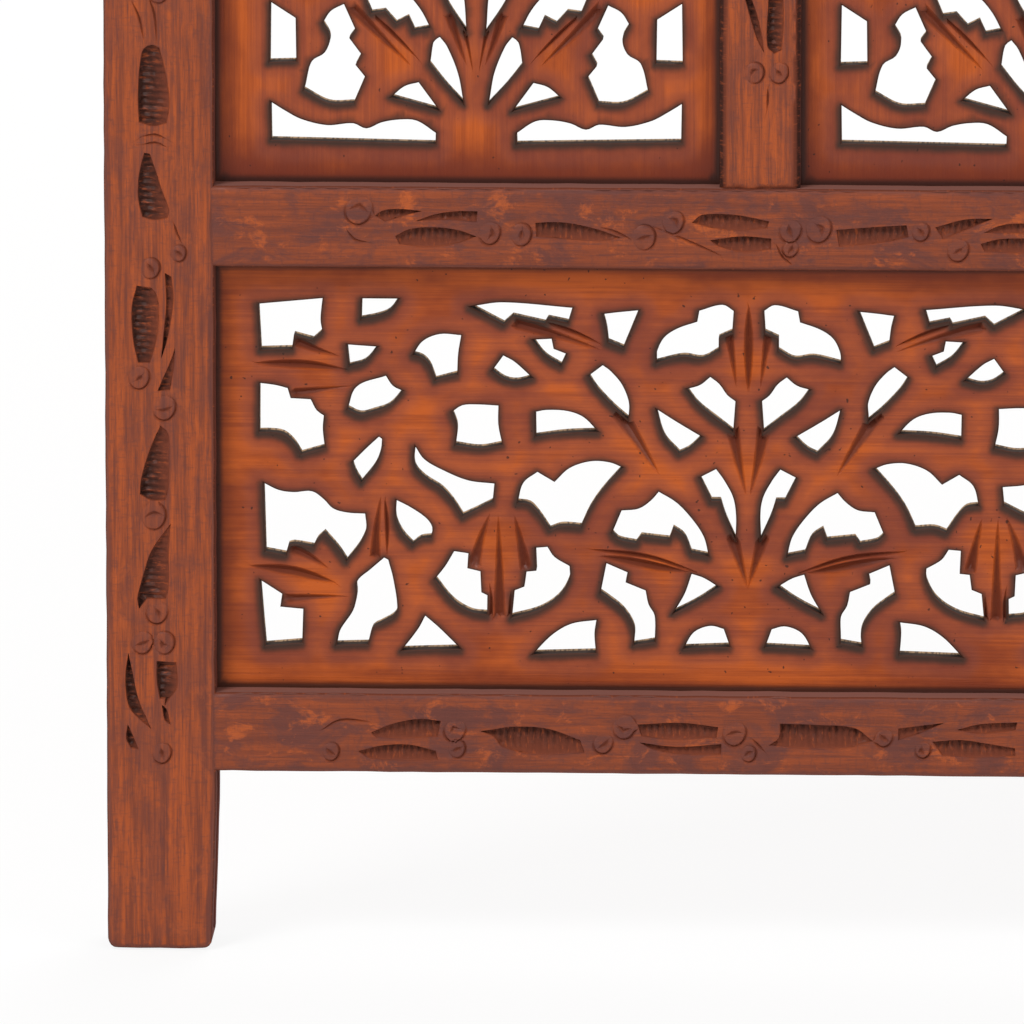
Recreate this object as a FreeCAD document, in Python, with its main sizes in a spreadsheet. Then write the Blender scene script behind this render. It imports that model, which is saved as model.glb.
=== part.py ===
import FreeCAD, Part
import math
import os
import re

# Carved folding screen: three framed lattice panels, hinged in a zigzag.
# Millimetres. The screen stands on Z = 0 and the middle panel's centre is on the Z axis.
# Each panel is drawn in its own frame: X along its width, Y from front to back, Z up.

SIZES = {
    "panel_width": 400,
    "panel_thickness": 25,
    "stile_width": 34,
    "stile_horn_height": 74,
    "foot_height": 57,
    "bottom_rail_height": 25,
    "bottom_lattice_height": 135,
    "middle_rail_height": 25.5,
    "tall_lattice_height": 1038,
    "upper_rail_height": 25.5,
    "top_lattice_height": 205,
    "arch_rise": 75,
    "crest_depth": 64,
    "crest_tenon_height": 45,
    "crest_tenon_shoulder": 14,
    "mullion_width": 25,
    "mullion_shift": 3.5,
    "lattice_thickness": 8,
    "lattice_setback": 9,
    "groove_depth": 6,
    "tenon_length": 20,
    "joint_clearance": 0.15,
    "fold_angle": 50,
    "hinge_inset": 70,
    "leaf_height": 60,
    "leaf_width": 18,
    "leaf_thickness": 1.5,
    "fold_gap": 3.4,
    "knuckle_radius": 3,
    "knuckle_clearance": 0.3,
    "pin_radius": 1.5,
    "pin_clearance": 0.05,
    "pin_setback": 2.8,
    "pin_head_height": 1.5,
    "screw_length": 14,
    "screw_radius": 1.3,
    "screw_head_radius": 2.8,
    "screw_head_clearance": 0.1,
    "cut_overrun": 1,
}

# Heights that stand on each other, from the floor to where the arch springs.
STACK = (
    "foot_height",
    "bottom_rail_height",
    "bottom_lattice_height",
    "middle_rail_height",
    "tall_lattice_height",
    "upper_rail_height",
    "top_lattice_height",
)

# The small round work of the hinges is drawn with flats.
barrel_sides = 8
screw_sides = 6
flat_share = math.cos(math.pi / barrel_sides)
# Screws of one leaf as shares of its height, from its middle.
screw_height_shares = (-0.32, 0.32)
# Screw line as a share of the leaf's width, from its free edge.
screw_line_share = 0.4
# The knuckles of a hinge, from the bottom: one share of the leaf's height each.
knuckle_share = 1 / 3

# The bottom lattice is drawn on the photograph: the left half of its opening, in pixels.
opening_left_pixel = 217
opening_centre_pixel = 748
opening_bottom_pixel = 690
opening_top_pixel = 264

bold_cut_pixels = (
    ((258, 303), (324, 299), (322, 335), (262, 352)),
    ((259, 384), (313, 400), (327, 449), (287, 434), (260, 435)),
    ((414, 448), (495, 484), (465, 517), (426, 479)),
    ((518, 500), (538, 471), (623, 467), (583, 527)),
    ((263, 485), (367, 514), (349, 563), (327, 536), (288, 557)),
    ((385, 558), (398, 610), (370, 646), (337, 647)),
    ((611, 535), (659, 490), (710, 557), (675, 528)),
    ((656, 360), (677, 328), (733, 306), (719, 352)),
)
fine_cut_pixels = (
    ((413, 355), (441, 334), (462, 336), (437, 381)),
    ((470, 306), (574, 308), (504, 325)),
    ((435, 577), (462, 552), (489, 612), (460, 602)),
    ((600, 595), (607, 562), (646, 590), (656, 644), (635, 645)),
    ((348, 409), (357, 388), (405, 386), (378, 413)),
    ((587, 377), (603, 364), (630, 419)),
    ((451, 414), (499, 405), (504, 446), (456, 446)),
    ((534, 413), (568, 410), (600, 428), (536, 437)),
    ((259, 583), (304, 611), (304, 646), (266, 648)),
    ((512, 617), (537, 549), (570, 572), (542, 610)),
    ((533, 655), (572, 623), (598, 653)),
    ((685, 388), (710, 375), (735, 432)),
)

# Cut-outs under the arch, right of its middle: shares of half the opening and of the arch's rise.
crown_cut_shares = (
    ((0.05, 0.05), (0.28, 0.05), (0.24, 0.60), (0.06, 0.74)),
    ((0.34, 0.05), (0.62, 0.05), (0.50, 0.42), (0.34, 0.55)),
)

# A tall lattice's foot, right of its stem, in shares of half its opening's width.
foot_cut_shares = (
    ((0.16, 0.17), (0.30, 0.24), (0.59, 0.22), (0.82, 0.31), (0.82, 0.17)),
    ((0.44, 0.42), (0.50, 0.32), (0.67, 0.36), (0.52, 0.70)),
    ((0.72, 0.48), (0.82, 0.47), (0.82, 0.71), (0.72, 0.64)),
)
foot_share = 0.86
# The tiers of foliage above it repeat two of the bottom lattice's cut-outs; a tier's own span in pixels.
tier_cut_pixels = (
    ((518, 502), (540, 471), (623, 466), (580, 528)),
    ((611, 536), (659, 490), (710, 557)),
)
tier_left_pixel = 486
tier_bottom_pixel = 654
tier_top_pixel = 290
tier_count = 8
# The plain margin above the last tier, as a share of half the opening's width.
head_margin_share = 0.17

doc = FreeCAD.newDocument("carved_folding_screen")
sheet = doc.addObject("Spreadsheet::Sheet", "Sizes")
for row, (alias, number) in enumerate(SIZES.items(), start=1):
    sheet.set(f"A{row}", alias)
    sheet.set(f"B{row}", str(number))
    sheet.setAlias(f"B{row}", alias)
doc.recompute()
size = {alias: float(sheet.get(alias)) for alias in SIZES}

half_opening = "(panel_width / 2 - stile_width)"
opening_width = "(panel_width - 2 * stile_width)"
front_face = "(-panel_thickness / 2)"
lattice_front = "(lattice_setback - panel_thickness / 2)"
groove_front = f"({lattice_front} - joint_clearance)"
groove_width = "(lattice_thickness + 2 * joint_clearance)"
lip = "(groove_depth - joint_clearance)"
tenon_shoulder = "(groove_depth + joint_clearance)"
arch_radius = f"(({half_opening} ^ 2 + arch_rise ^ 2) / (2 * arch_rise))"
spring_level = "(" + " + ".join(STACK) + ")"
arch_centre = f"({spring_level} + arch_rise - {arch_radius})"

across_thickness = FreeCAD.Rotation(FreeCAD.Vector(1, 0, 0), -90)


def level(member):
    """Expression for the height at which a member of the stack starts."""
    return "(" + " + ".join(STACK[:STACK.index(member)]) + ")"


def level_value(member):
    """Height in millimetres at which a member of the stack starts."""
    return sum(size[name] for name in STACK[:STACK.index(member)])


def bind(item, **formulas):
    """Tie properties of an object to the sheet: each word in a formula is an alias there."""
    for name, formula in formulas.items():
        path = name.replace("__", ".")
        item.setExpression(path, re.sub(r"[a-z]+(?:_[a-z]+)+", r"Sizes.\g<0>", formula))
    return item


def place(item, x, y, z):
    """Tie an object's place to the sheet."""
    return bind(item, Placement__Base__x=x, Placement__Base__y=y, Placement__Base__z=z)


def box(name, corner, extent):
    """A box from its lowest corner and its three sizes."""
    item = bind(doc.addObject("Part::Box", name), Length=extent[0], Width=extent[1], Height=extent[2])
    return place(item, *corner)


def cylinder(name, base, radius, length, rotation=None):
    """A cylinder from its base point, along Z unless it is turned."""
    item = bind(doc.addObject("Part::Cylinder", name), Radius=radius, Height=length)
    if rotation:
        item.Placement.Rotation = rotation
    return place(item, *base)


def barrel(name, base, radius, length):
    """A short upright barrel with flats, from its base point and the radius of its corners."""
    item = bind(doc.addObject("Part::Prism", name), Circumradius=radius, Height=length)
    item.Polygon = barrel_sides
    return place(item, *base)


def disc(name, radius, front, thickness):
    """A disc across the panel, round the centre of the arch."""
    return cylinder(name, ("0", front, arch_centre), radius, thickness, across_thickness)


def together(name, items, kind="Part::MultiFuse"):
    """One fused solid or, as a Part::Compound, a group of separate ones."""
    if len(items) == 1:
        return items[0]
    item = doc.addObject(kind, name)
    if kind == "Part::Compound":
        item.Links = items
    else:
        item.Shapes = items
    return item


def cut(name, base, tools):
    """A solid less its tools."""
    item = doc.addObject("Part::Cut", name)
    item.Base = base
    item.Tool = together(name + "_tools", tools)
    return item


def stile(name, side):
    """An upright with a rounded head, grooved for the lattices and mortised for the rails."""
    outer = "(-panel_width / 2)" if side < 0 else f"{half_opening}"
    inner = f"(-{half_opening})" if side < 0 else f"{half_opening}"
    straight = f"({spring_level} + stile_horn_height)"
    post = box(name + "_post", (outer, front_face, "0"), ("stile_width", "panel_thickness", straight))
    head = cylinder(name + "_head", (f"{outer} + stile_width / 2", front_face, straight),
                    "stile_width / 2", "panel_thickness", across_thickness)

    def slot(slot_name, depth, bottom, height):
        start = f"{inner} - {depth}" if side < 0 else inner
        return box(name + slot_name, (start, groove_front, bottom), (depth, groove_width, height))

    sill = level("bottom_lattice_height")
    slots = [slot("_groove", "groove_depth", f"{sill} - groove_depth",
                  f"{spring_level} + crest_tenon_shoulder - {sill} + groove_depth")]
    for rail in ("bottom_rail_height", "middle_rail_height", "upper_rail_height"):
        slots.append(slot("_" + rail + "_mortise", "tenon_length",
                          f"{level(rail)} + {tenon_shoulder} - joint_clearance",
                          f"{rail} - 2 * {tenon_shoulder} + 2 * joint_clearance"))
    slots.append(slot("_crest_mortise", "tenon_length",
                      f"{spring_level} + crest_tenon_shoulder - joint_clearance",
                      "crest_tenon_height + 2 * joint_clearance"))
    return cut(name, together(name + "_blank", [post, head]), slots)


def tenons(name, bottom, height):
    """The stub tenons at the two ends of a rail."""
    extent = ("tenon_length - joint_clearance", "lattice_thickness", height)
    far_end = f"-{half_opening} - tenon_length + joint_clearance"
    left = box(name + "_left_tenon", (far_end, lattice_front, bottom), extent)
    right = box(name + "_right_tenon", (half_opening, lattice_front, bottom), extent)
    return [left, right]


def rail(name, member, grooves):
    """A straight rail with a tenon at each end and a groove along each edge that holds a lattice."""
    bottom = level(member)
    bar = box(name + "_bar", (f"-{half_opening}", front_face, bottom),
              (opening_width, "panel_thickness", member))
    ends = tenons(name, f"{bottom} + {tenon_shoulder}", f"{member} - 2 * {tenon_shoulder}")
    slots = []
    for edge in grooves:
        start = f"{bottom} + {member} - groove_depth" if edge == "top" else f"{bottom} - cut_overrun"
        slots.append(box(f"{name}_{edge}_groove",
                         (f"-{half_opening} - cut_overrun", groove_front, start),
                         (f"{opening_width} + 2 * cut_overrun", groove_width, "groove_depth + cut_overrun")))
    grooved = cut(name + "_grooved", bar, slots)
    return together(name, [grooved] + ends)


def crest(name):
    """The arched top rail, concentric inside and out, grooved for the top lattice."""
    blank = box(name + "_blank", (f"-{half_opening}", front_face, spring_level),
                (opening_width, "panel_thickness", "arch_rise + crest_depth"))
    outer = disc(name + "_outer", f"{arch_radius} + crest_depth", front_face, "panel_thickness")
    arch = doc.addObject("Part::Common", name + "_arch")
    arch.Base = blank
    arch.Tool = outer
    opening = disc(name + "_opening", arch_radius, f"{front_face} - cut_overrun",
                   "panel_thickness + 2 * cut_overrun")
    groove = disc(name + "_groove", f"{arch_radius} + groove_depth", groove_front, groove_width)
    grooved = cut(name + "_grooved", arch, [opening, groove])
    ends = tenons(name, f"{spring_level} + crest_tenon_shoulder", "crest_tenon_height")
    return together(name, [grooved] + ends)


def mullion(name):
    """The upright between the two tall lattices, grooved on both sides and stubbed into the rails."""
    bottom = level("tall_lattice_height")
    bar = box(name + "_bar", ("mullion_shift - mullion_width / 2", front_face, bottom),
              ("mullion_width", "panel_thickness", "tall_lattice_height"))
    slots = []
    for side, start in (("left", "mullion_shift - mullion_width / 2 - cut_overrun"),
                        ("right", "mullion_shift + mullion_width / 2 - groove_depth")):
        slots.append(box(f"{name}_{side}_groove", (start, groove_front, f"{bottom} - cut_overrun"),
                         ("groove_depth + cut_overrun", groove_width,
                          "tall_lattice_height + 2 * cut_overrun")))
    stub = box(name + "_stub",
               ("mullion_shift - mullion_width / 2 + groove_depth", lattice_front, f"{bottom} - {lip}"),
               ("mullion_width - 2 * groove_depth", "lattice_thickness", f"tall_lattice_height + 2 * {lip}"))
    return together(name, [cut(name + "_grooved", bar, slots), stub])


def outline(points):
    """A closed wire through points in the plane of the lattice."""
    corners = [FreeCAD.Vector(x, 0, z) for x, z in points]
    return Part.makePolygon(corners + corners[:1])


def both_sides(cuts):
    """Cut-outs and their mirror images about the middle of a lattice."""
    return list(cuts) + [[(-x, z) for x, z in points] for points in cuts]


def drawn_cuts(table, half_width, height, left_pixel, bottom_pixel, top_pixel):
    """Cut-outs drawn in pixels, stretched to an opening's half width and height."""
    pixels_across = opening_centre_pixel - left_pixel
    pixels_up = bottom_pixel - top_pixel
    return both_sides([[((x - opening_centre_pixel) / pixels_across * half_width,
                         (bottom_pixel - y) / pixels_up * height) for x, y in points]
                       for points in table])


def wide_cuts(table, half_width, height):
    """Cut-outs of a lattice that fills the panel's whole width."""
    return drawn_cuts(table, half_width, height, opening_left_pixel, opening_bottom_pixel, opening_top_pixel)


def crown_cuts(half_width, height):
    """The cut-outs of the arched head of a top lattice."""
    return both_sides([[(x * half_width, height + z * size["arch_rise"]) for x, z in points]
                       for points in crown_cut_shares])


def tall_cuts(half_width, height):
    """The plant of a tall lattice: its foot, then one tier of foliage above another."""
    cuts = both_sides([[(x * half_width, z * half_width) for x, z in points] for points in foot_cut_shares])
    foot = foot_share * half_width
    pitch = (height - foot - head_margin_share * half_width) / tier_count
    tier_cuts = drawn_cuts(tier_cut_pixels, half_width, pitch, tier_left_pixel, tier_bottom_pixel,
                           tier_top_pixel)
    for tier in range(tier_count):
        cuts += [[(x, foot + tier * pitch + z) for x, z in points] for points in tier_cuts]
    return cuts


def lattice(name, half_width, height, cuts, arched=False):
    """A sawn board that fills an opening and its grooves; drawn from the middle of the opening's sill."""
    edge = size["groove_depth"] - size["joint_clearance"]
    reach = half_width + edge
    if arched:
        radius = (half_width ** 2 + size["arch_rise"] ** 2) / (2 * size["arch_rise"]) + edge
        crown = height + size["arch_rise"] + edge
        corner = crown - radius + (radius ** 2 - reach ** 2) ** 0.5
        ends = [FreeCAD.Vector(x, 0, corner) for x in (reach, -reach)]
        sides = Part.makePolygon([ends[1], FreeCAD.Vector(-reach, 0, -edge),
                                  FreeCAD.Vector(reach, 0, -edge), ends[0]])
        top = Part.Arc(ends[0], FreeCAD.Vector(0, 0, crown), ends[1]).toShape()
        rim = Part.Wire(sides.Edges + [top])
    else:
        rim = outline([(-reach, -edge), (reach, -edge), (reach, height + edge), (-reach, height + edge)])
    board = Part.makeFace([rim] + [outline(points) for points in cuts], "Part::FaceMakerCheese")
    item = doc.addObject("Part::Feature", name)
    item.Shape = board.extrude(FreeCAD.Vector(0, size["lattice_thickness"], 0))
    return item


def hinge_levels():
    """Expressions for the height of each hinge's middle, inside the middle and upper rails."""
    return [f"({level('tall_lattice_height')} + hinge_inset)",
            f"({level('upper_rail_height')} - hinge_inset)"]


def leaves(name, side, knuckles):
    """The hinge leaves on one panel's edge, drawn about the pin; side is where that panel lies."""
    group = []
    start = "-fold_gap / 2" if side < 0 else "fold_gap / 2 - leaf_thickness"
    root = "(-knuckle_radius - knuckle_clearance)"
    for number, middle in enumerate(hinge_levels(), start=1):
        title = f"{name}_{number}"
        bottom = f"({middle} - leaf_height / 2)"
        solids = [box(title + "_plate", (start, f"{root} - leaf_width", bottom),
                      ("leaf_thickness", "leaf_width", "leaf_height"))]
        for knuckle in knuckles:
            base = f"{bottom} + leaf_height * {knuckle * knuckle_share} + knuckle_clearance / 2"
            length = f"leaf_height * {knuckle_share} - knuckle_clearance"
            solids.append(box(f"{title}_neck_{knuckle}", (start, root, base),
                              ("leaf_thickness", "knuckle_radius + knuckle_clearance", length)))
            solids.append(barrel(f"{title}_knuckle_{knuckle}", ("0", "0", base), "knuckle_radius", length))
        bore = barrel(title + "_bore", ("0", "0", f"{bottom} - cut_overrun"),
                      f"(pin_radius + pin_clearance) / {flat_share}", "leaf_height + 2 * cut_overrun")
        sinks = [turned(f"{title}_sink_{row}", side, middle, share,
                        ["screw_head_radius + screw_head_clearance", "screw_radius + screw_head_clearance"],
                        ["0", "leaf_thickness"])
                 for row, share in enumerate(screw_height_shares, start=1)]
        group.append(cut(title, together(title + "_blank", solids), [bore] + sinks))
    return together(name, group, "Part::Compound")


def turned(name, side, middle, share, radii, depths):
    """A screw-like form through a leaf: one radius at each depth below the leaf's open face."""
    along = f"-knuckle_radius - knuckle_clearance - leaf_width * {1 - screw_line_share}"
    rings = []
    for number, (radius, depth) in enumerate(zip(radii, depths), start=1):
        ring = bind(doc.addObject("Part::RegularPolygon", f"{name}_ring_{number}"), Circumradius=radius)
        ring.Polygon = screw_sides
        ring.Placement.Rotation = FreeCAD.Rotation(FreeCAD.Vector(0, 1, 0), 90 * side)
        rings.append(place(ring, f"{side} * (fold_gap / 2 - leaf_thickness + {depth})", along,
                           f"{middle} + leaf_height * {share}"))
    item = doc.addObject("Part::Loft", name)
    item.Sections = rings
    item.Solid = True
    item.Ruled = True
    return item


def screws(name, side):
    """The countersunk wood screws that hold the leaves to one panel's edge."""
    radii = ["screw_head_radius", "screw_radius", "screw_radius"]
    depths = ["0", "leaf_thickness", "screw_length"]
    return together(name, [turned(f"{name}_{number}_{row}", side, middle, share, radii, depths)
                           for number, middle in enumerate(hinge_levels(), start=1)
                           for row, share in enumerate(screw_height_shares, start=1)], "Part::Compound")


def pins(name):
    """The hinge pins, each with a head on its top knuckle."""
    group = []
    for number, middle in enumerate(hinge_levels(), start=1):
        title = f"{name}_{number}"
        top = f"({middle} + leaf_height / 2)"
        bottom = f"({middle} - leaf_height / 2)"
        shaft = cylinder(title + "_shaft", ("0", "0", bottom), "pin_radius", "leaf_height")
        cap = barrel(title + "_cap", ("0", "0", top), "knuckle_radius", "pin_head_height")
        group.append(together(title, [shaft, cap]))
    return together(name, group, "Part::Compound")


def panel(prefix):
    """The eleven pieces of one panel and their own places in it, by node name."""
    half_width = size["panel_width"] / 2 - size["stile_width"]
    post_left = size["mullion_shift"] - size["mullion_width"] / 2
    post_right = size["mullion_shift"] + size["mullion_width"] / 2
    openings = {"left": (-half_width, post_left), "right": (post_right, half_width)}
    front = size["lattice_setback"] - size["panel_thickness"] / 2
    low, tall, high = (size[f"{name}_lattice_height"] for name in ("bottom", "tall", "top"))
    bottom_lattice = lattice(f"{prefix}_bottom_lattice", half_width, low,
                             wide_cuts(bold_cut_pixels + fine_cut_pixels, half_width, low))
    talls = []
    for side, (start, end) in openings.items():
        half_tall = (end - start) / 2
        talls.append(lattice(f"{prefix}_{side}_tall_lattice", half_tall, tall, tall_cuts(half_tall, tall)))
    top_lattice = lattice(f"{prefix}_top_lattice", half_width, high,
                          wide_cuts(bold_cut_pixels, half_width, high) + crown_cuts(half_width, high),
                          arched=True)
    at = FreeCAD.Vector
    boards = [
        (bottom_lattice, at(0, front, level_value("bottom_lattice_height"))),
        (top_lattice, at(0, front, level_value("top_lattice_height"))),
    ]
    boards += [(board, at((start + end) / 2, front, level_value("tall_lattice_height")))
               for board, (start, end) in zip(talls, openings.values())]
    frame = [
        stile(f"{prefix}_left_stile", -1),
        stile(f"{prefix}_right_stile", 1),
        rail(f"{prefix}_bottom_rail", "bottom_rail_height", ["top"]),
        rail(f"{prefix}_middle_rail", "middle_rail_height", ["top", "bottom"]),
        rail(f"{prefix}_upper_rail", "upper_rail_height", ["top", "bottom"]),
        crest(f"{prefix}_crest_rail"),
        mullion(f"{prefix}_mullion"),
    ]
    return boards + [(member, at(0, 0, 0)) for member in frame]


# Places: the middle panel is turned by the fold, the outer panels stay square to the view.
upright = FreeCAD.Vector(0, 0, 1)
fold = FreeCAD.Rotation(upright, size["fold_angle"])
square = FreeCAD.Rotation()
half_turn = FreeCAD.Placement(FreeCAD.Vector(), FreeCAD.Rotation(upright, 180))
pin_across = size["panel_width"] / 2 + size["fold_gap"] / 2
pin_back = size["panel_thickness"] / 2 + size["pin_setback"]
left_pin = fold.multVec(FreeCAD.Vector(-pin_across, pin_back, 0))
left_centre = left_pin - FreeCAD.Vector(pin_across, pin_back, 0)

nodes = []
for prefix, turn, centre in (("left_panel", square, left_centre),
                             ("middle_panel", fold, FreeCAD.Vector()),
                             ("right_panel", square, -left_centre)):
    stand = FreeCAD.Placement(centre, turn)
    for piece, offset in panel(prefix):
        nodes.append((piece, stand.multiply(FreeCAD.Placement(offset, square))))

outer_knuckles = (0, 2)
inner_knuckles = (1,)
for prefix, swing in (("left_fold", FreeCAD.Placement()), ("right_fold", half_turn)):
    outer_stand = swing.multiply(FreeCAD.Placement(left_pin, square))
    inner_stand = swing.multiply(FreeCAD.Placement(left_pin, fold))
    nodes.append((leaves(f"{prefix}_outer_leaves", -1, outer_knuckles), outer_stand))
    nodes.append((screws(f"{prefix}_outer_screws", -1), outer_stand))
    nodes.append((pins(f"{prefix}_pins"), outer_stand))
    nodes.append((leaves(f"{prefix}_inner_leaves", 1, inner_knuckles), inner_stand))
    nodes.append((screws(f"{prefix}_inner_screws", 1), inner_stand))

for piece, stand in nodes:
    piece.Label = piece.Name
    piece.Placement = stand
doc.recompute()

for item in doc.Objects:
    if "Invalid" in item.State or "Error" in item.State:
        raise RuntimeError(f"{item.Label} did not recompute: {item.State}")
for piece, stand in nodes:
    if piece.Shape.isNull() or not piece.Shape.isValid():
        raise RuntimeError(f"{piece.Label} has no valid shape")

os.makedirs("parts", exist_ok=True)
for piece, stand in nodes:
    piece.Shape.exportStep(f"parts/{piece.Label}.step")
    print(piece.Label, len(piece.Shape.Solids), "solids", round(piece.Shape.Volume), "mm3")
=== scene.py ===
"""Carved folding screen: carved frames, sawn lattices and hinges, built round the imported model."""

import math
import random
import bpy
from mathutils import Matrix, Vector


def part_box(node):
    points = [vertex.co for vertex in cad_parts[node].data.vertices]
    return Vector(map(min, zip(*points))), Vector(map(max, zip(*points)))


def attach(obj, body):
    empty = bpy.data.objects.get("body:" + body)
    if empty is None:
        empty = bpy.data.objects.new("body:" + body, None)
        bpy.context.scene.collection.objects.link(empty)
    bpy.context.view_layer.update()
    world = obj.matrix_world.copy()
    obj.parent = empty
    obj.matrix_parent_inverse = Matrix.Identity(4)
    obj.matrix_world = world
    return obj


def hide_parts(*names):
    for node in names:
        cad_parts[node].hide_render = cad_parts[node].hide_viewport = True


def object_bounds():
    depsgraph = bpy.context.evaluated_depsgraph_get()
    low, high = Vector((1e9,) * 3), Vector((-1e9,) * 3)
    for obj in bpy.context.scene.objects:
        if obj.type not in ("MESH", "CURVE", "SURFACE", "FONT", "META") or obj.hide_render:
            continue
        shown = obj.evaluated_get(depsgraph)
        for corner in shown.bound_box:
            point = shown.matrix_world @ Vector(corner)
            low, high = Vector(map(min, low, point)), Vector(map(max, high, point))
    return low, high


bl_info = {
    "name": "Carved Folding Screen",
    "version": (1, 0, 0),
    "blender": (4, 5, 0),
    "location": "View3D > Sidebar > Screen",
    "description": "Carved frames, sawn lattices and hinges of a folding screen",
    "category": "Add Mesh",
}

import bmesh
import bpy
import numpy as np
from bpy.props import FloatProperty, FloatVectorProperty, PointerProperty
from mathutils import Matrix, Vector, kdtree
from mathutils.geometry import delaunay_2d_cdt

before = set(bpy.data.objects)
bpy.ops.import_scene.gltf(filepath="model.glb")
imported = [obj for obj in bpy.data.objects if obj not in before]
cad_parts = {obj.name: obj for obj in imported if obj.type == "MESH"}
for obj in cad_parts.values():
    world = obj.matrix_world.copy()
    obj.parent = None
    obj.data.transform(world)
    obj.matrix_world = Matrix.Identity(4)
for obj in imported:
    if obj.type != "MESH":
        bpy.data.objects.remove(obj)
CAD_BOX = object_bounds()

# Shapes are drawn in millimetres in a panel's own frame: X from its middle, Y to its back, Z up.
MM = 0.001
PANELS = ("left_panel", "middle_panel", "right_panel")


def stile_centres(panel):
    """Middles of a panel's two stiles in the frame, in metres."""
    boxes = [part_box(f"{panel}_{side}_stile") for side in ("left", "right")]
    return [(Vector(low) + Vector(high)) / 2 for low, high in boxes]


def panel_place(panel):
    """Matrix from a panel's own frame to the row's frame."""
    left, right = stile_centres(panel)
    middle = (left + right) / 2
    along = right - left
    turn = Matrix.Rotation(math.atan2(along.y, along.x), 4, "Z")
    return Matrix.Translation((middle.x, middle.y, 0)) @ turn


PANEL_ORIGIN = panel_place("left_panel").translation


def local_box(part):
    """A left panel part's lowest and highest corners in the panel's own frame, in millimetres."""
    low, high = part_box("left_panel_" + part)
    return (Vector(low) - PANEL_ORIGIN) / MM, (Vector(high) - PANEL_ORIGIN) / MM


STILE_LOW, STILE_HIGH = local_box("left_stile")
HALF_WIDTH = -STILE_LOW.x
THICKNESS = STILE_HIGH.y - STILE_LOW.y
STILE_WIDTH = STILE_HIGH.x - STILE_LOW.x
HALF_OPENING = -STILE_HIGH.x
FRONT = STILE_LOW.y
MULLION_LEFT, MULLION_RIGHT = (corner.x for corner in local_box("mullion"))
LATTICE_FRONT = local_box("bottom_lattice")[0].y
LATTICE_THICKNESS = local_box("bottom_lattice")[1].y - LATTICE_FRONT
RAIL_LEVELS = {name: (local_box(name)[0].z, local_box(name)[1].z)
               for name in ("bottom_rail", "middle_rail", "upper_rail")}
SPRING_LEVEL = local_box("crest_rail")[0].z
CREST_TOP = local_box("crest_rail")[1].z

# The photograph's view of the left panel: pixels to millimetres on the frame's front face.
PANEL_LEFT_PIXEL = 107
PANEL_FOOT_PIXEL = 954
PIXELS_ACROSS_MM = 3.196
PIXELS_UP_MM = 3.152
# A point on the sunk lattices shows this much further right and higher, in pixels.
LATTICE_SHIFT_PIXELS = (1.8, -5.5)
# A cut-out's open wall shows this much of its lower left side, in pixels.
WALL_SHIFT_PIXELS = (-1.6, 4.9)
# How soon an edge that turns towards that wall shows all of it.
WALL_FACING_GAIN = 1.5


def length_property(name, description, default, least, most):
    """A property for a length in millimetres."""
    return FloatProperty(name=name, description=f"{description}, in millimetres", default=default,
                         min=least, max=most)


def colour_property(name, description, default):
    """A property for a colour."""
    return FloatVectorProperty(name=name, description=description, subtype="COLOR", default=default)


class ScreenSizes(bpy.types.PropertyGroup):
    """Sizes of the carving that a user would change."""

    edge_round: length_property("Edge round", "Radius of the frame's worn front edges", 1.6, 0.2, 4.0)
    cut_ease: length_property("Cut ease", "Width of the eased edge round each cut-out", 0.45, 0.1, 1.0)
    pocket_depth: length_property("Pocket depth", "Depth of the leaf pockets cut in the frame", 2.2, 0.5, 4.0)
    vein_depth: length_property("Vein depth", "Depth of the veins and incised lines", 0.9, 0.2, 2.0)
    board_grain: length_property("Board facets", "Spacing of points over a flat board", 2.6, 1.0, 8.0)


class WoodColours(bpy.types.PropertyGroup):
    """Colours of the finishes."""

    frame_red: colour_property("Frame red", "Main red-brown of the frame", (0.165, 0.040, 0.020))
    frame_amber: colour_property("Frame amber", "Lighter streaks of the frame", (0.40, 0.082, 0.018))
    frame_orange: colour_property("Frame orange", "Worn orange patches of the frame", (0.50, 0.105, 0.020))
    # Frame smoke is the frame's real purplish smudges, and also the painted shade that darkens its narrow
    # sides.
    frame_smoke_and_shade: colour_property("Frame smoke", "Purplish dark smudges of the frame", (0.108, 0.036, 0.030))
    # Frame edge is a painted highlight, along the frame's rounded rims and on its narrow sides where they
    # face up.
    frame_highlight: colour_property("Frame edge", "Lilac-grey of the frame's rubbed edges", (0.25, 0.115, 0.092))
    # Pocket dark is painted shade on the pocket floors, in the leg's groove and along the lattices' rims, and
    # also the lattices' real dark flecks.
    shade_and_fleck_dark: colour_property("Pocket dark", "Dark floor of the leaf pockets", (0.030, 0.011, 0.008))
    board_amber: colour_property("Board amber", "Warm orange-brown of the lattices", (0.47, 0.093, 0.013))
    board_red: colour_property(
        "Board red", "Deep red pooled at the edges of the lattices", (0.155, 0.024, 0.009))
    board_dull: colour_property(
        "Board dull", "Dull brown of the lattices between the cut-outs", (0.185, 0.066, 0.058))
    scorch: colour_property("Scorch", "Grey-brown halo round the cut-outs", (0.036, 0.020, 0.014))
    saw_cut: colour_property("Saw cut", "Pale flecks on the sawn walls of the cut-outs", (0.46, 0.30, 0.17))
    brass: colour_property("Brass", "Aged brass of the hinges", (0.50, 0.33, 0.13))
    steel: colour_property("Steel", "Grey steel of the screws", (0.42, 0.41, 0.39))
    steel_brown: colour_property("Steel brown", "Brown bloom on the screws", (0.20, 0.13, 0.09))


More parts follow.
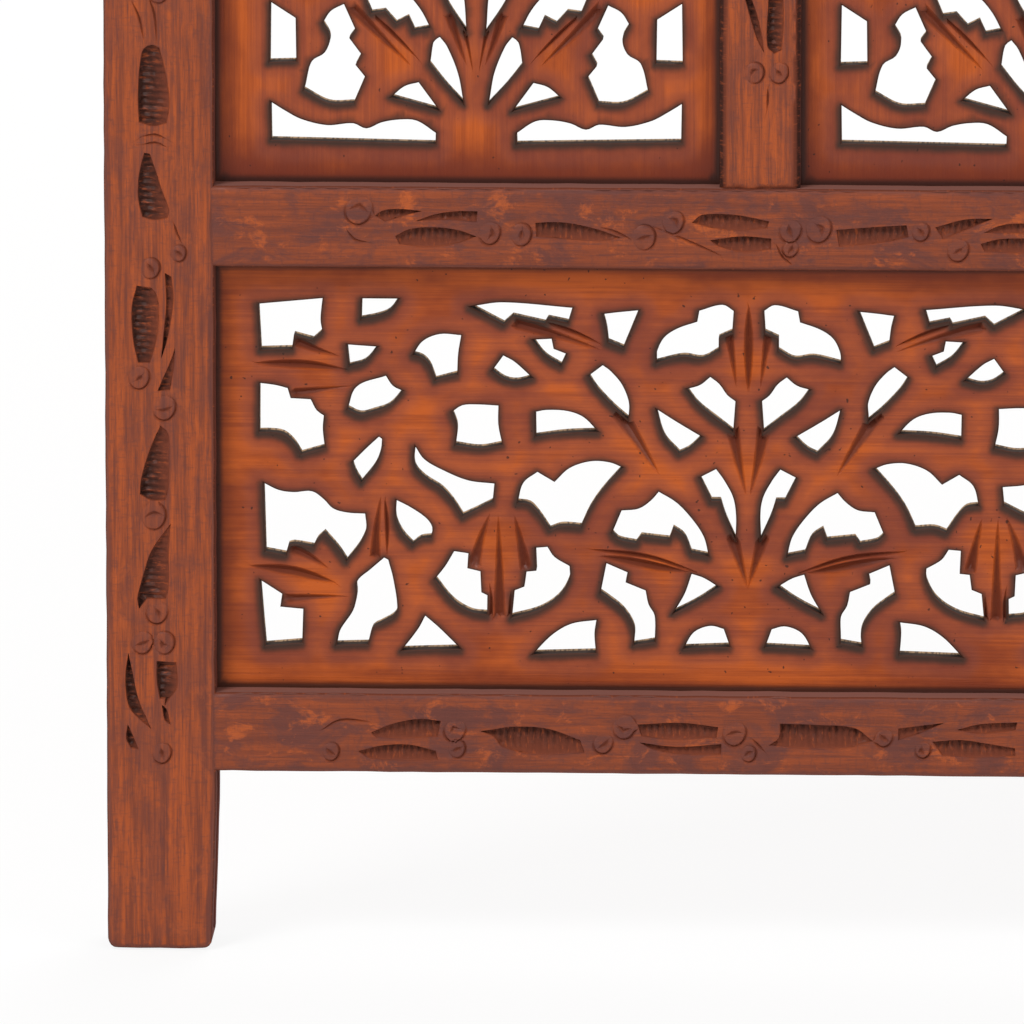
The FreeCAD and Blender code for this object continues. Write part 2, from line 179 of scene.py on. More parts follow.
class ViewSettings(bpy.types.PropertyGroup):
    """Where the camera stands."""

    azimuth: FloatProperty(
        name="Azimuth", description="Camera's turn round the screen", default=math.radians(2.2),
        subtype="ANGLE")
    elevation: FloatProperty(
        name="Elevation", description="Camera's height angle", default=math.radians(11.0),
        subtype="ANGLE")
    distance: FloatProperty(
        name="Distance", description="Camera's distance from the panel", default=4.5,
        unit="LENGTH", min=0.5)
    frame_width: FloatProperty(
        name="Frame width", description="Width that the picture takes in at the panel", default=0.3187,
        unit="LENGTH", min=0.05)


class Wire:
    """A shader socket whose operators add Math nodes to its tree."""

    def __init__(self, graph, socket):
        self.graph = graph
        self.socket = socket

    def maths(self, operation, *values):
        return self.graph.node("ShaderNodeMath", {"operation": operation}, dict(enumerate(values)))

    def __add__(self, other):
        return self.maths("ADD", self, other)

    def __radd__(self, other):
        return self.maths("ADD", other, self)

    def __sub__(self, other):
        return self.maths("SUBTRACT", self, other)

    def __rsub__(self, other):
        return self.maths("SUBTRACT", other, self)

    def __mul__(self, other):
        return self.maths("MULTIPLY", self, other)

    def __rmul__(self, other):
        return self.maths("MULTIPLY", other, self)

    def most(self, other):
        return self.maths("MAXIMUM", self, other)

    def clamp(self):
        return self.graph.node("ShaderNodeClamp", {}, {"Value": self})

    def band(self, low, high):
        """From 0 at low to 1 at high, eased at both ends."""
        return self.graph.node("ShaderNodeMapRange", {"interpolation_type": "SMOOTHSTEP"},
                               {"Value": self, "From Min": low, "From Max": high})

    def mask(self, low, high, share):
        """A share of what lies above a band."""
        return self.band(low, high) * share

    def near(self, low, high, share):
        """A share of what lies below a band."""
        return (1 - self.band(low, high)) * share


class Graph:
    """A node tree, and the one method that adds nodes to it."""

    def __init__(self, tree):
        self.tree = tree

    def node(self, kind, settings, links, output=0):
        """Any node: its settings are set first, then the values or links of its sockets."""
        made = self.tree.nodes.new(kind)
        for name, value in settings.items():
            setattr(made, name, value)
        for name, value in links.items():
            self.feed(made.inputs[name], value)
        return Wire(self, made.outputs[output])

    def feed(self, socket, value):
        if isinstance(value, Wire):
            self.tree.links.new(value.socket, socket)
        elif hasattr(value, "__len__") and len(value) == 3 and len(socket.default_value) == 4:
            socket.default_value = (*value, 1.0)
        else:
            socket.default_value = value


class Finish(Graph):
    """One material and its nodes."""

    def __init__(self, name):
        self.material = bpy.data.materials.new(name)
        self.material.use_nodes = True
        super().__init__(self.material.node_tree)
        self.shader = self.tree.nodes["Principled BSDF"]

    def attribute(self, name, part="Fac"):
        return self.node("ShaderNodeAttribute", {"attribute_name": name}, {}, part)

    def split(self, vector):
        made = self.node("ShaderNodeSeparateXYZ", {}, {"Vector": vector})
        return [Wire(self, socket) for socket in made.socket.node.outputs]

    def object_place(self):
        return self.node("ShaderNodeTexCoord", {}, {}, "Object")

    def noise(self, vector, scale, detail, roughness, distortion=0.0):
        return self.node("ShaderNodeTexNoise", {}, {"Vector": vector, "Scale": scale, "Detail": detail,
                                                    "Roughness": roughness, "Distortion": distortion})

    def grain(self, vector, scale, detail, roughness, distortion=0.0, shift=(0.0, 0.0, 0.0)):
        """Noise of a vector that is scaled on each axis, then moved."""
        scaled = self.node("ShaderNodeVectorMath", {"operation": "MULTIPLY"}, {0: vector, 1: scale})
        moved = self.node("ShaderNodeVectorMath", {"operation": "ADD"}, {0: scaled, 1: shift})
        return self.noise(moved, 1.0, detail, roughness, distortion)

    def blend(self, factor, first, second):
        """A colour between two colours."""
        return self.node("ShaderNodeMix", {"data_type": "RGBA", "blend_type": "MIX"},
                         {0: factor, 6: first, 7: second}, 2)

    def coats(self, colour, *coats):
        """A colour under coats, each given by its mask and its colour."""
        for mask, coat in coats:
            colour = self.blend(mask, colour, coat)
        return colour

    def bump(self, height, strength, distance):
        links = {"Height": height, "Strength": strength, "Distance": distance}
        self.feed(self.shader.inputs["Normal"], self.node("ShaderNodeBump", {}, links))

    def surface(self, **inputs):
        for name, value in inputs.items():
            self.feed(self.shader.inputs[name.replace("_", " ")], value)
        return self.material


# The least share of a mitre's normal, which limits its reach, and the turn that stays a sharp corner.
MITRE_SHARE = 0.55
SHARP_TURN = math.radians(48)


def turn_direction(outline):
    """Twice a closed outline's area, positive where it runs anticlockwise."""
    return sum(a[0] * b[1] - b[0] * a[1] for a, b in zip(outline, outline[1:] + outline[:1]))


def anticlockwise(outline):
    points = [tuple(point) for point in outline]
    return points if turn_direction(points) > 0 else points[::-1]


def offset(outline, distance):
    """A closed outline moved outwards, or inwards where the distance is negative."""
    points = anticlockwise(outline)
    moved = []
    for before, here, after in zip(points[-1:] + points[:-1], points, points[1:] + points[:1]):
        entry = (Vector(here) - Vector(before)).normalized()
        leave = (Vector(after) - Vector(here)).normalized()
        normal = Vector((entry.y + leave.y, -entry.x - leave.x))
        reach = max(normal.length / 2, MITRE_SHARE)
        moved.append(tuple(Vector(here) + normal.normalized() * distance / reach))
    return moved


def flowing(outline, step, corner=SHARP_TURN, closed=True):
    """A line through points with even steps: curved, but sharp where it turns by more than a corner."""
    points = [Vector(point) for point in outline]
    count = len(points)
    ways = []
    for index, here in enumerate(points):
        before = points[index - 1] if closed or index else here
        after = points[(index + 1) % count] if closed or index < count - 1 else here
        entry = here - before
        leave = after - here
        sharp = entry.length == 0 or leave.length == 0 or abs(entry.angle_signed(leave)) > corner
        ways.append((entry, leave) if sharp else ((after - before) / 2, (after - before) / 2))
    line = []
    for index in range(count if closed else count - 1):
        start = points[index]
        end = points[(index + 1) % count]
        span = (end - start).length
        lead = ways[index][1].normalized() * span
        trail = ways[(index + 1) % count][0].normalized() * span
        parts = max(1, round(span / step))
        for part in range(parts):
            t = part / parts
            line.append(tuple(start * (2 * t ** 3 - 3 * t ** 2 + 1) + lead * (t ** 3 - 2 * t ** 2 + t)
                              + end * (3 * t ** 2 - 2 * t ** 3) + trail * (t ** 3 - t ** 2)))
    return line if closed else line + [tuple(points[-1])]


def inside(outline, points):
    """Which of an array's points lie in a closed outline."""
    found = np.zeros(len(points), dtype=bool)
    across, up = points[:, 0], points[:, 1]
    for (ax, ay), (bx, by) in zip(outline, outline[1:] + outline[:1]):
        if ay == by:
            continue
        crosses = (ay > up) != (by > up)
        found ^= crosses & (across < (bx - ax) * (up - ay) / (by - ay) + ax)
    return found


def inside_boxed(outline, points):
    """As inside, but only tries the points in the outline's own box."""
    low = np.min(outline, axis=0)
    high = np.max(outline, axis=0)
    near = np.flatnonzero(np.all((points >= low) & (points <= high), axis=1))
    found = np.zeros(len(points), dtype=bool)
    found[near] = inside(outline, points[near])
    return found


def is_wide(outline):
    """Whether an outline is wider than it is high."""
    width, height = np.ptp(np.array(outline), axis=0)
    return width > height


def tree_of(points):
    """A search tree over points in the plane."""
    tree = kdtree.KDTree(len(points))
    for index, (x, z) in enumerate(points):
        tree.insert((x, z, 0.0), index)
    tree.balance()
    return tree


# A rim's rounded edge: how far in, and how deep, as shares of its radius.
RIM_ROUND = ((0.0, 0.8), (0.35, 0.28), (1.0, 0.0))
# Points over the open surface: the pitch of their rows and their room, as shares of their spacing.
ROW_SHARE = 0.866
ROOM_SHARE = 0.62
# Rows of points round each cut-out: their distances from it, and their step and room as shares.
HALO_ROWS = (1.7, 3.2)
HALO_STEP_SHARE = 0.5
HALO_ROOM_SHARE = 0.7
# The scorched halos lie lower and further left than their cut-outs by this much.
HALO_SHIFT = (0.3, 0.6)
# A pocket's side, its share of the depth, and the share that is left where the floor runs out.
POCKET_SIDE = 0.3
POCKET_SIDE_SHARE = 0.8
POCKET_RUN_OUT = 0.3
# The ladder of chisel marks on a pocket's floor: their step, room, share of the depth and spread.
LADDER_STEP = 1.05
LADDER_ROOM_SHARE = 0.5
LADDER_SHARE = 0.22
LADDER_SPREAD = (0.3, 1.2)
# A gouge's cross-section: shares of its half width and of its depth; and its room to a cut-out.
GOUGE_SECTION = ((-1.0, 0.0), (-0.45, 0.7), (0.0, 1.0), (0.45, 0.7), (1.0, 0.0))
GOUGE_ROOM = 0.5
# How a gouge thins out: the power of a wedge, and the power, start and length of a swell's half turn.
WEDGE_POWER = 0.65
SWELL_POWER = 0.7
SWELL_START = 0.03
SWELL_LENGTH = 0.94
# A ring's cross-section: shares of its width and of its depth.
RING_SECTION = ((-0.5, 0.0), (0.0, 1.0), (0.5, 0.0))
RING_SIDES = 34
# A ring is uneven by a share of its radius, with two lobes and three lesser ones.
RING_WOBBLE = 0.06
RING_LOBE_SHARE = 0.3
# A ring is cut deepest about its lower right, and loses this share of its depth opposite.
RING_SHADE_TURN = math.radians(-45)
RING_TURN_SPREAD = 0.8
RING_FADE = 0.8
# A stain over each ring, full at its middle and gone outside it: its value there and its loss in a radius.
STAIN_MIDDLE = 2.6
STAIN_LOSS = 2.0
# Corners nearer than this are one, and triangles of less area are left out.
WELD = 1e-4
SLIVER = 1e-7
# The least reach of the mitre where two sides of a board's back meet.
BACK_MITRE = 1.1
# Step along an outline that distances are measured to, and the furthest distance that is kept.
OUTLINE_STEP = 1.0
FAR = 30.0
SHARP_EDGE = math.radians(38)
# The way that a board's fibres run, and the material slots of its faces and of its walls.
LEVEL = 0
UPRIGHT = 1
FACE_SLOT = 0
WALL_SLOT = 1


def triangles(points, edges, rim, holes):
    """Triangles between constraint lines, without the cut-outs and what lies outside the rim."""
    made = delaunay_2d_cdt([Vector(point) for point in points], edges, [], 0, WELD, True)
    corners = np.array([tuple(vertex) for vertex in made[0]])
    faces = np.array(made[2])
    middles = corners[faces].mean(axis=1)
    keep = inside(rim, middles)
    for hole in holes:
        keep &= ~inside_boxed(hole, middles)
    first, second, third = (corners[faces[:, corner]] for corner in range(3))
    area = np.cross(second - first, third - first)
    faces = np.where((area < 0)[:, None], faces[:, ::-1], faces)
    return corners, faces[keep & (np.abs(area) > SLIVER)], made[3]


def wall_polygons(edges, low_of, steps, count):
    """A board's sides below its open edges, in bands where they step into a slot, and the back's ease."""
    polygons = []
    for a, b in edges:
        low_a, low_b = low_of[a], low_of[b]
        run_a, run_b = ([top, *steps[top], low] for top, low in ((a, low_a), (b, low_b)))
        bands = [run_b[:1] + run_a + run_b[:0:-1]]
        if len(run_a) == len(run_b):
            bands = [(run_b[rung], run_a[rung], run_a[rung + 1], run_b[rung + 1])
                     for rung in range(len(run_a) - 1)]
        polygons += [tuple(dict.fromkeys(band)) for band in bands if len(set(band)) > 2]
        polygons.append((low_b, low_a, low_a + count, low_b + count))
    return polygons


def slot_steps(slot, corners, edge_points, vertices, depths):
    """New vertices down the wall below each edge point, which step into a slot and out again."""
    steps = {point: [] for point in edge_points}
    if slot is None:
        return steps
    low, high = slot["heights"]
    along = [point for point in edge_points if slot["side"] * corners[point][0] > slot["edge"]
             and low < corners[point][1] < high]
    along.sort(key=lambda point: corners[point][1])
    for point in along:
        x, z = corners[point]
        sunk = 0.0 if point in (along[0], along[-1]) else slot["depth"]
        for y, inward in zip(slot["depths"], ((0.0, sunk), (sunk, 0.0))):
            for reach in dict.fromkeys(inward):
                steps[point].append(len(vertices))
                vertices.append((x - slot["side"] * reach, y, z))
                depths.append(reach)
        if not sunk:
            start, end = steps[point]
            steps[point] = [start, start, end, end]
    return steps


class Board:
    """A carved board in millimetres: its rim, its cut-outs and the lines of its carving."""

    def __init__(self, rim, seed=0):
        self.rim = anticlockwise(rim)
        self.holes = []
        self.pockets = []
        self.gouges = []
        self.stains = []
        self.points = []
        self.depths = []
        self.edges = []
        self.chance = random.Random(seed)

    def point(self, x, z, depth=0.0):
        self.points.append((x, z))
        self.depths.append(depth)

    def line(self, points, depth, closed=True):
        """A line of the carving at one depth, or at one depth for each of its points."""
        first = len(self.points)
        depths = depth if hasattr(depth, "__len__") else [depth] * len(points)
        self.points.extend(points)
        self.depths.extend(depths)
        count = len(points)
        self.edges.extend((first + i, first + (i + 1) % count) for i in range(count if closed else count - 1))

    def round_rim(self, radius):
        """The rim and its rounded edge."""
        for inwards, sunk in RIM_ROUND:
            self.line(offset(self.rim, -radius * inwards) if inwards else self.rim, radius * sunk)

    def cut(self, outline, ease):
        """A cut-out right through, with an eased edge."""
        outline = anticlockwise(outline)
        self.holes.append(outline)
        self.line(outline, ease)
        self.line(offset(outline, ease), 0.0)

    def pocket(self, outline, depth):
        """A sunk pocket with steep sides."""
        outline = anticlockwise(outline)
        self.pockets.append((outline, depth))
        self.line(outline, 0.0)
        inner = offset(outline, -POCKET_SIDE)
        floors = self.floor_depths(outline, depth, inner)
        self.line(inner, [float(sunk) * POCKET_SIDE_SHARE for sunk in floors])

    def floor_depths(self, outline, depth, spots):
        """Depths in a pocket: deep along its upper or left side, running out towards the other."""
        low, high = np.min(outline, axis=0), np.max(outline, axis=0)
        across, up = ((np.array(spots) - low) / (high - low)).T
        lean = up if is_wide(outline) else 1 - across
        return depth * (POCKET_RUN_OUT + (1 - POCKET_RUN_OUT) * np.clip(lean, 0, 1))

    def clear_runs(self, points, room):
        """Stretches of a line that keep some room from every cut-out and pocket."""
        spots = np.array(points)
        low, high = spots.min(axis=0) - room, spots.max(axis=0) + room
        clear = np.ones(len(points), dtype=bool)
        for outline in self.holes + [outline for outline, depth in self.pockets]:
            if np.all(np.max(outline, axis=0) > low) and np.all(np.min(outline, axis=0) < high):
                clear &= ~inside_boxed(offset(outline, room), spots)
        runs = [[]]
        for index, open_here in enumerate(clear):
            if open_here:
                runs[-1].append(index)
            elif runs[-1]:
                runs.append([])
        return [run for run in runs if len(run) > 2]

    def groove(self, path, width, depth, wedge=False):
        """A gouge that thins out at both ends, or only at its far end where it is a wedge."""
        line = [Vector(point) for point in path]
        last = len(line) - 1
        swell = []
        for index in range(last + 1):
            t = index / last
            half_turn = math.pi * (SWELL_START + SWELL_LENGTH * t)
            swell.append((1 - t) ** WEDGE_POWER if wedge else math.sin(half_turn) ** SWELL_POWER)
        ways = [line[min(index + 1, last)] - line[max(index - 1, 0)] for index in range(last + 1)]
        shores = []
        for side, sunk in GOUGE_SECTION:
            edge = [tuple(here + Vector((-way.y, way.x)).normalized() * side * width / 2 * size)
                    for here, way, size in zip(line, ways, swell)]
            shores.append(edge)
            for run in self.clear_runs(edge, GOUGE_ROOM):
                self.line([edge[index] for index in run], [depth * sunk * swell[index] for index in run],
                          closed=False)
        self.gouges.append(shores[0] + shores[-1][::-1])

    def ring(self, centre, radius, width, depth):
        """An incised circle, uneven and faint on one side, and open where a pocket takes its place."""
        phase = RING_SHADE_TURN + self.chance.uniform(-RING_TURN_SPREAD, RING_TURN_SPREAD)
        turns = [2 * math.pi * side / RING_SIDES for side in range(RING_SIDES)]
        rays = [Vector((math.cos(turn), math.sin(turn))) for turn in turns]
        lobes = [RING_WOBBLE * math.sin(2 * turn + phase) for turn in turns]
        lesser = [RING_WOBBLE * RING_LOBE_SHARE * math.sin(3 * turn) for turn in turns]
        reach = [radius * (1 + lobe + less) for lobe, less in zip(lobes, lesser)]
        sinks = [depth * (1 - RING_FADE * (1 + math.sin(turn + phase)) / 2) for turn in turns]
        middle = Vector(centre)
        self.stains.append((centre, radius))
        path = [tuple(middle + ray * far) for ray, far in zip(rays, reach)]
        for run in self.clear_runs(path, width):
            for side, sunk in RING_SECTION:
                self.line([tuple(middle + rays[index] * (reach[index] + side * width)) for index in run],
                          [sinks[index] * sunk for index in run], closed=len(run) == RING_SIDES)

    def scatter(self, spacing):
        """Points over the open surface, round the cut-outs and over the pockets' floors."""
        taken = tree_of(self.points)
        self.scatter_open(taken, spacing)
        self.scatter_halos(taken, spacing * HALO_STEP_SHARE)
        for outline, depth in self.pockets:
            self.scatter_floor(taken, outline, depth)

    def scatter_open(self, taken, spacing):
        """Points in even rows over the surface that no carving takes."""
        low = np.min(self.rim, axis=0)
        high = np.max(self.rim, axis=0)
        rows = np.arange(low[1] + spacing / 2, high[1], spacing * ROW_SHARE)
        spots = np.array([(x + (spacing / 2 if row % 2 else 0.0), z) for row, z in enumerate(rows)
                          for x in np.arange(low[0] + spacing / 2, high[0], spacing)])
        keep = inside(self.rim, spots)
        for outline in self.holes + [outline for outline, depth in self.pockets] + self.gouges:
            keep &= ~inside_boxed(outline, spots)
        for x, z in spots[keep]:
            if taken.find((x, z, 0.0))[2] > spacing * ROOM_SHARE:
                self.point(x, z)

    def scatter_halos(self, taken, step):
        """Points in two rows round each cut-out, so that narrow bars between cut-outs keep their colours."""
        rows = [flowing(offset(hole, reach), step, corner=0.0)
                for reach in HALO_ROWS for hole in self.holes]
        if not rows:
            return
        spots = np.array([spot for row in rows for spot in row])
        keep = inside(self.rim, spots)
        for outline in [offset(hole, step / 2) for hole in self.holes] + self.gouges:
            keep &= ~inside_boxed(outline, spots)
        used = set()
        for x, z in spots[keep]:
            cell = (round(x / step), round(z / step))
            if cell not in used and taken.find((x, z, 0.0))[2] > step * HALO_ROOM_SHARE:
                used.add(cell)
                self.point(x, z)

    def scatter_floor(self, taken, outline, depth):
        """Points over a pocket's floor, by turns higher and lower along its ladder of chisel marks."""
        low, high = np.min(outline, axis=0), np.max(outline, axis=0)
        columns, rungs = (np.arange(low[axis], high[axis], LADDER_STEP) for axis in (0, 1))
        spots = np.array([(x, z) for x in columns for z in rungs])
        marks = [column if is_wide(outline) else rung
                 for column in range(len(columns)) for rung in range(len(rungs))]
        floors = self.floor_depths(outline, depth, spots)
        for (x, z), mark, sunk, open_here in zip(spots, marks, floors, inside(outline, spots)):
            if open_here and taken.find((x, z, 0.0))[2] > LADDER_STEP * LADDER_ROOM_SHARE:
                ladder = LADDER_SHARE * (-1) ** mark * self.chance.uniform(*LADDER_SPREAD)
                self.point(x, z, float(sunk) * (1 + ladder))

    def corner_depths(self, corners, sources):
        """Each corner's depth: that of the points it was made from, or of the nearest one."""
        known = tree_of(self.points)
        return [max(self.depths[source] for source in origin) if origin
                else self.depths[known.find((x, z, 0.0))[1]]
                for (x, z), origin in zip(corners, sources)]

    def back(self, flat, links, ease):
        """The back's edge points, moved in by its ease, its triangles and the points they come from."""
        inward = np.zeros((len(flat), 2))
        for a, b in links:
            way = Vector(flat[b] - flat[a]).normalized()
            inward[[a, b]] += (-way.y, way.x)
        reach = np.maximum(np.linalg.norm(inward, axis=1), BACK_MITRE)[:, None]
        eased = flat + inward / reach ** 2 * 2 * ease
        faces, sources = triangles([tuple(point) for point in eased], links, offset(self.rim, -ease),
                                   [offset(hole, ease) for hole in self.holes])[1:]
        return eased, faces, sources

    def mesh(self, name, front, thickness, grain, back_ease, slot=None):
        """The board as a closed mesh in metres; grain is the way that its fibres run, LEVEL or UPRIGHT."""
        corners, faces, sources = triangles(self.points, self.edges, self.rim, self.holes)
        depths = self.corner_depths(corners, sources)
        sides = {(a, b) for face in faces.tolist() for a, b in zip(face, face[1:] + face[:1])}
        open_edges = [edge for edge in sorted(sides) if edge[::-1] not in sides]
        edge_points = sorted({point for edge in open_edges for point in edge})
        order_of = {point: order for order, point in enumerate(edge_points)}
        links = [(order_of[a], order_of[b]) for a, b in open_edges]
        flat = corners[edge_points]
        eased, back_faces, back_sources = self.back(flat, links, back_ease)
        first = len(corners)
        second = first + len(flat)
        low_of = {point: first + order for point, order in order_of.items()}
        back_of = {index: second + origin[0] for index, origin in enumerate(back_sources) if origin}
        vertices = [(x, front + depth, z) for (x, z), depth in zip(corners, depths)]
        vertices += [(x, front + thickness - back_ease, z) for x, z in flat]
        vertices += [(x, front + thickness, z) for x, z in eased]
        depths += [0.0] * 2 * len(flat)
        steps = slot_steps(slot, corners, edge_points, vertices, depths)
        polygons = [tuple(face) for face in faces.tolist()]
        walls = wall_polygons(open_edges, low_of, steps, len(flat))
        backs = [tuple(back_of[point] for point in face[::-1]) for face in back_faces.tolist()
                 if all(point in back_of for point in face)]
        slots = [FACE_SLOT] * len(polygons) + [WALL_SLOT] * len(walls) + [FACE_SLOT] * len(backs)
        mesh = bpy.data.meshes.new(name)
        mesh.from_pydata([tuple(value * MM for value in vertex) for vertex in vertices], [],
                         polygons + walls + backs)
        mesh.polygons.foreach_set("material_index", slots)
        self.note_work(mesh, grain, depths, second)
        mesh.shade_smooth()
        mesh.set_sharp_from_angle(angle=SHARP_EDGE)
        mesh.validate()
        return mesh

    def note_work(self, mesh, grain, depths, back):
        """Attributes for the finishes: distance to a cut, to the rim, depth, and the grain's own axes."""
        hole_points = [point for hole in self.holes for point in flowing(hole, OUTLINE_STEP, corner=0.0)]
        cut_tree = tree_of(hole_points) if hole_points else None
        rim_tree = tree_of(flowing(self.rim, OUTLINE_STEP, corner=0.0))
        work = []
        fibre = []
        for index, (vertex, depth) in enumerate(zip(mesh.vertices, depths)):
            x, y, z = (value / MM for value in vertex.co)
            halo = (x + HALO_SHIFT[0], z + HALO_SHIFT[1], 0.0)
            cut = cut_tree.find(halo)[2] if cut_tree and index < back else FAR
            rim = rim_tree.find((x, z, 0.0))[2] if index < back else FAR
            work.append((min(cut, FAR), min(rim, FAR), depth))
            fibre.append((z, y, x) if grain == LEVEL else (x, y, z))
        for name, values, scale in (("work", work, 1.0), ("fibre", fibre, MM)):
            layer = mesh.attributes.new(name, "FLOAT_VECTOR", "POINT")
            layer.data.foreach_set("vector", (np.array(values, dtype=np.float32) * scale).ravel())
        spots = np.array([(vertex.co.x / MM, vertex.co.z / MM) for vertex in mesh.vertices])
        stain = np.zeros(len(spots), dtype=np.float32)
        for centre, radius in self.stains:
            gap = np.hypot(spots[:, 0] - centre[0], spots[:, 1] - centre[1])
            stain = np.maximum(stain, np.clip(STAIN_MIDDLE - STAIN_LOSS * gap / radius, 0, 1))
        layer = mesh.attributes.new("stain", "FLOAT", "POINT")
        layer.data.foreach_set("value", stain.astype(np.float32))


# Cut-outs of the bottom lattice left of its middle, as they show white in the photograph, in pixels.
LOWER_CUT_PIXELS = {
    "corner_window": ((260, 306), (324, 300), (322, 321), (324, 333), (316, 337), (297, 332), (295, 346),
                      (264, 347)),
    "corner_slip": ((363, 300), (400, 300), (392, 308), (379, 313), (364, 316)),
    "wing_slip": ((348, 346), (379, 348), (368, 358), (352, 363)),
    "wing_leaf": ((350, 407), (358, 388), (387, 377), (394, 387), (404, 392), (392, 402), (376, 408),
                  (363, 411)),
    "side_cloud": ((261, 385), (277, 387), (289, 390), (292, 400), (312, 401), (318, 412), (325, 417),
                   (324, 430), (327, 446), (304, 451), (296, 439), (286, 431), (273, 429), (262, 430)),
    "side_leaf": ((353, 464), (368, 449), (380, 438), (383, 440), (382, 450), (377, 464), (364, 479),
                  (358, 469)),
    "high_bud": ((415, 353), (424, 342), (441, 335), (462, 336), (459, 354), (459, 372), (438, 376),
                 (432, 361), (425, 354)),
    "top_strip": ((472, 304), (503, 303), (573, 308), (570, 318), (550, 314), (547, 319), (515, 312),
                  (506, 320)),
    "top_tick": ((533, 340), (552, 339), (554, 349), (567, 354), (563, 361), (547, 351)),
    "top_fleck": ((504, 356), (515, 362), (533, 378), (519, 377), (507, 375), (494, 368)),
    "shield": ((603, 314), (619, 312), (639, 310), (632, 327), (625, 343), (610, 337), (608, 324)),
    "blade": ((589, 375), (603, 365), (611, 371), (622, 384), (629, 402), (630, 414), (616, 402), (599, 384)),
    "middle_bud": ((453, 412), (463, 406), (478, 405), (499, 406), (499, 425), (504, 442), (482, 444),
                   (458, 441), (459, 424)),
    "flat_fish": ((536, 412), (547, 410), (568, 411), (584, 417), (600, 427), (568, 428), (538, 432)),
    "left_wing": ((416, 447), (425, 460), (444, 471), (469, 481), (495, 484), (494, 500), (478, 506),
                  (465, 512), (455, 497), (444, 485), (427, 474), (417, 462)),
    "fan": ((520, 498), (524, 483), (538, 472), (555, 482), (570, 468), (591, 461), (610, 462), (623, 467),
            (603, 488), (591, 506), (583, 522), (564, 521), (552, 525), (541, 509), (532, 500)),
    "teardrop": ((397, 501), (411, 508), (427, 519), (433, 528), (433, 534), (423, 535), (415, 541),
                 (405, 530), (398, 516)),
    "side_flag": ((265, 484), (280, 492), (295, 494), (313, 493), (325, 501), (334, 510), (348, 514),
                  (366, 515), (367, 530), (361, 544), (349, 558), (341, 546), (327, 530), (319, 539),
                  (316, 544), (296, 541), (290, 545), (288, 552), (268, 549)),
    "foot_step": ((261, 582), (283, 596), (281, 609), (304, 611), (304, 641), (268, 643), (265, 617)),
    "foot_flame": ((385, 559), (389, 561), (394, 580), (398, 609), (396, 613), (382, 621), (374, 628),
                   (370, 641), (339, 642), (341, 632), (354, 612), (358, 596), (358, 583), (371, 571)),
    "foot_tent": ((426, 617), (439, 628), (463, 645), (404, 647), (419, 630)),
    "left_sleeve": ((455, 552), (469, 554), (468, 569), (481, 572), (482, 593), (488, 596), (489, 611),
                    (473, 608), (455, 597), (437, 576), (446, 567)),
    "right_sleeve": ((536, 548), (548, 547), (555, 557), (570, 566), (570, 578), (561, 593), (542, 605),
                     (514, 613), (515, 591), (525, 587), (527, 572), (537, 571)),
    "foot_sail": ((535, 650), (553, 635), (572, 624), (597, 620), (595, 633), (598, 648)),
    "bird": ((613, 531), (622, 510), (639, 508), (651, 500), (659, 491), (677, 502), (693, 519), (704, 536),
             (710, 552), (693, 547), (686, 531), (675, 523), (671, 534), (643, 531), (638, 538), (620, 534)),
    "stair": ((607, 563), (628, 572), (626, 582), (646, 590), (649, 604), (655, 615), (656, 639), (636, 640),
              (636, 624), (626, 606), (610, 593), (602, 590)),
    "low_leaf": ((692, 573), (704, 577), (719, 586), (700, 595), (675, 608), (685, 593)),
    "half_moon": ((686, 643), (692, 634), (700, 628), (712, 625), (724, 628), (732, 641)),
    "stem_blade": ((700, 475), (716, 468), (724, 479), (733, 496), (736, 515), (737, 533), (727, 511),
                   (722, 495), (713, 495)),
    "stem_kite": ((656, 408), (675, 420), (702, 436), (691, 443), (681, 448), (666, 431)),
    "stem_shell": ((687, 386), (700, 384), (710, 376), (719, 383), (727, 394), (735, 400), (734, 427),
                   (719, 414), (700, 399)),
    "stem_wing": ((699, 310), (722, 304), (733, 310), (732, 330), (719, 335), (719, 347), (704, 353),
                  (685, 351), (658, 357), (657, 351), (664, 337), (677, 328), (697, 321)),
}
# Gouges of the bottom lattice left of its middle: their line, their width and whether they are wedges.
LOWER_GOUGE_PIXELS = (
    (((300, 344), (321, 352), (342, 358)), 8, True),
    (((258, 365), (306, 366), (347, 371)), 8, False),
    (((290, 395), (324, 391), (354, 387)), 9, True),
    (((288, 548), (308, 557), (331, 571)), 10, True),
    (((252, 568), (294, 573), (335, 584)), 9, False),
    (((283, 601), (316, 599), (350, 598)), 9, True),
    (((376, 556), (378, 526), (382, 497)), 9, True),
    (((388, 554), (388, 526), (386, 500)), 4, False),
    (((500, 614), (500, 570), (499, 515)), 10, True),
    (((474, 570), (481, 541), (491, 513)), 11, True),
    (((526, 566), (521, 541), (515, 515)), 10, True),
    (((492, 614), (492, 598), (490, 582)), 4, True),
    (((511, 614), (511, 602), (512, 590)), 4, True),
    (((593, 549), (648, 556), (697, 571)), 5, False),
    (((603, 556), (640, 562), (686, 571)), 9, False),
    (((518, 324), (560, 336), (602, 350)), 10, True),
    (((545, 322), (572, 331), (600, 343)), 4, False),
    (((620, 412), (640, 443), (660, 475)), 14, True),
    (((728, 330), (732, 356), (736, 386)), 8, True),
    (((733, 430), (738, 458), (746, 494)), 11, True),
    (((733, 536), (740, 560), (748, 588)), 11, True),
)
MIDDLE_GOUGE_PIXELS = ((((748, 306), (748, 345), (748, 388)), 8, False),)
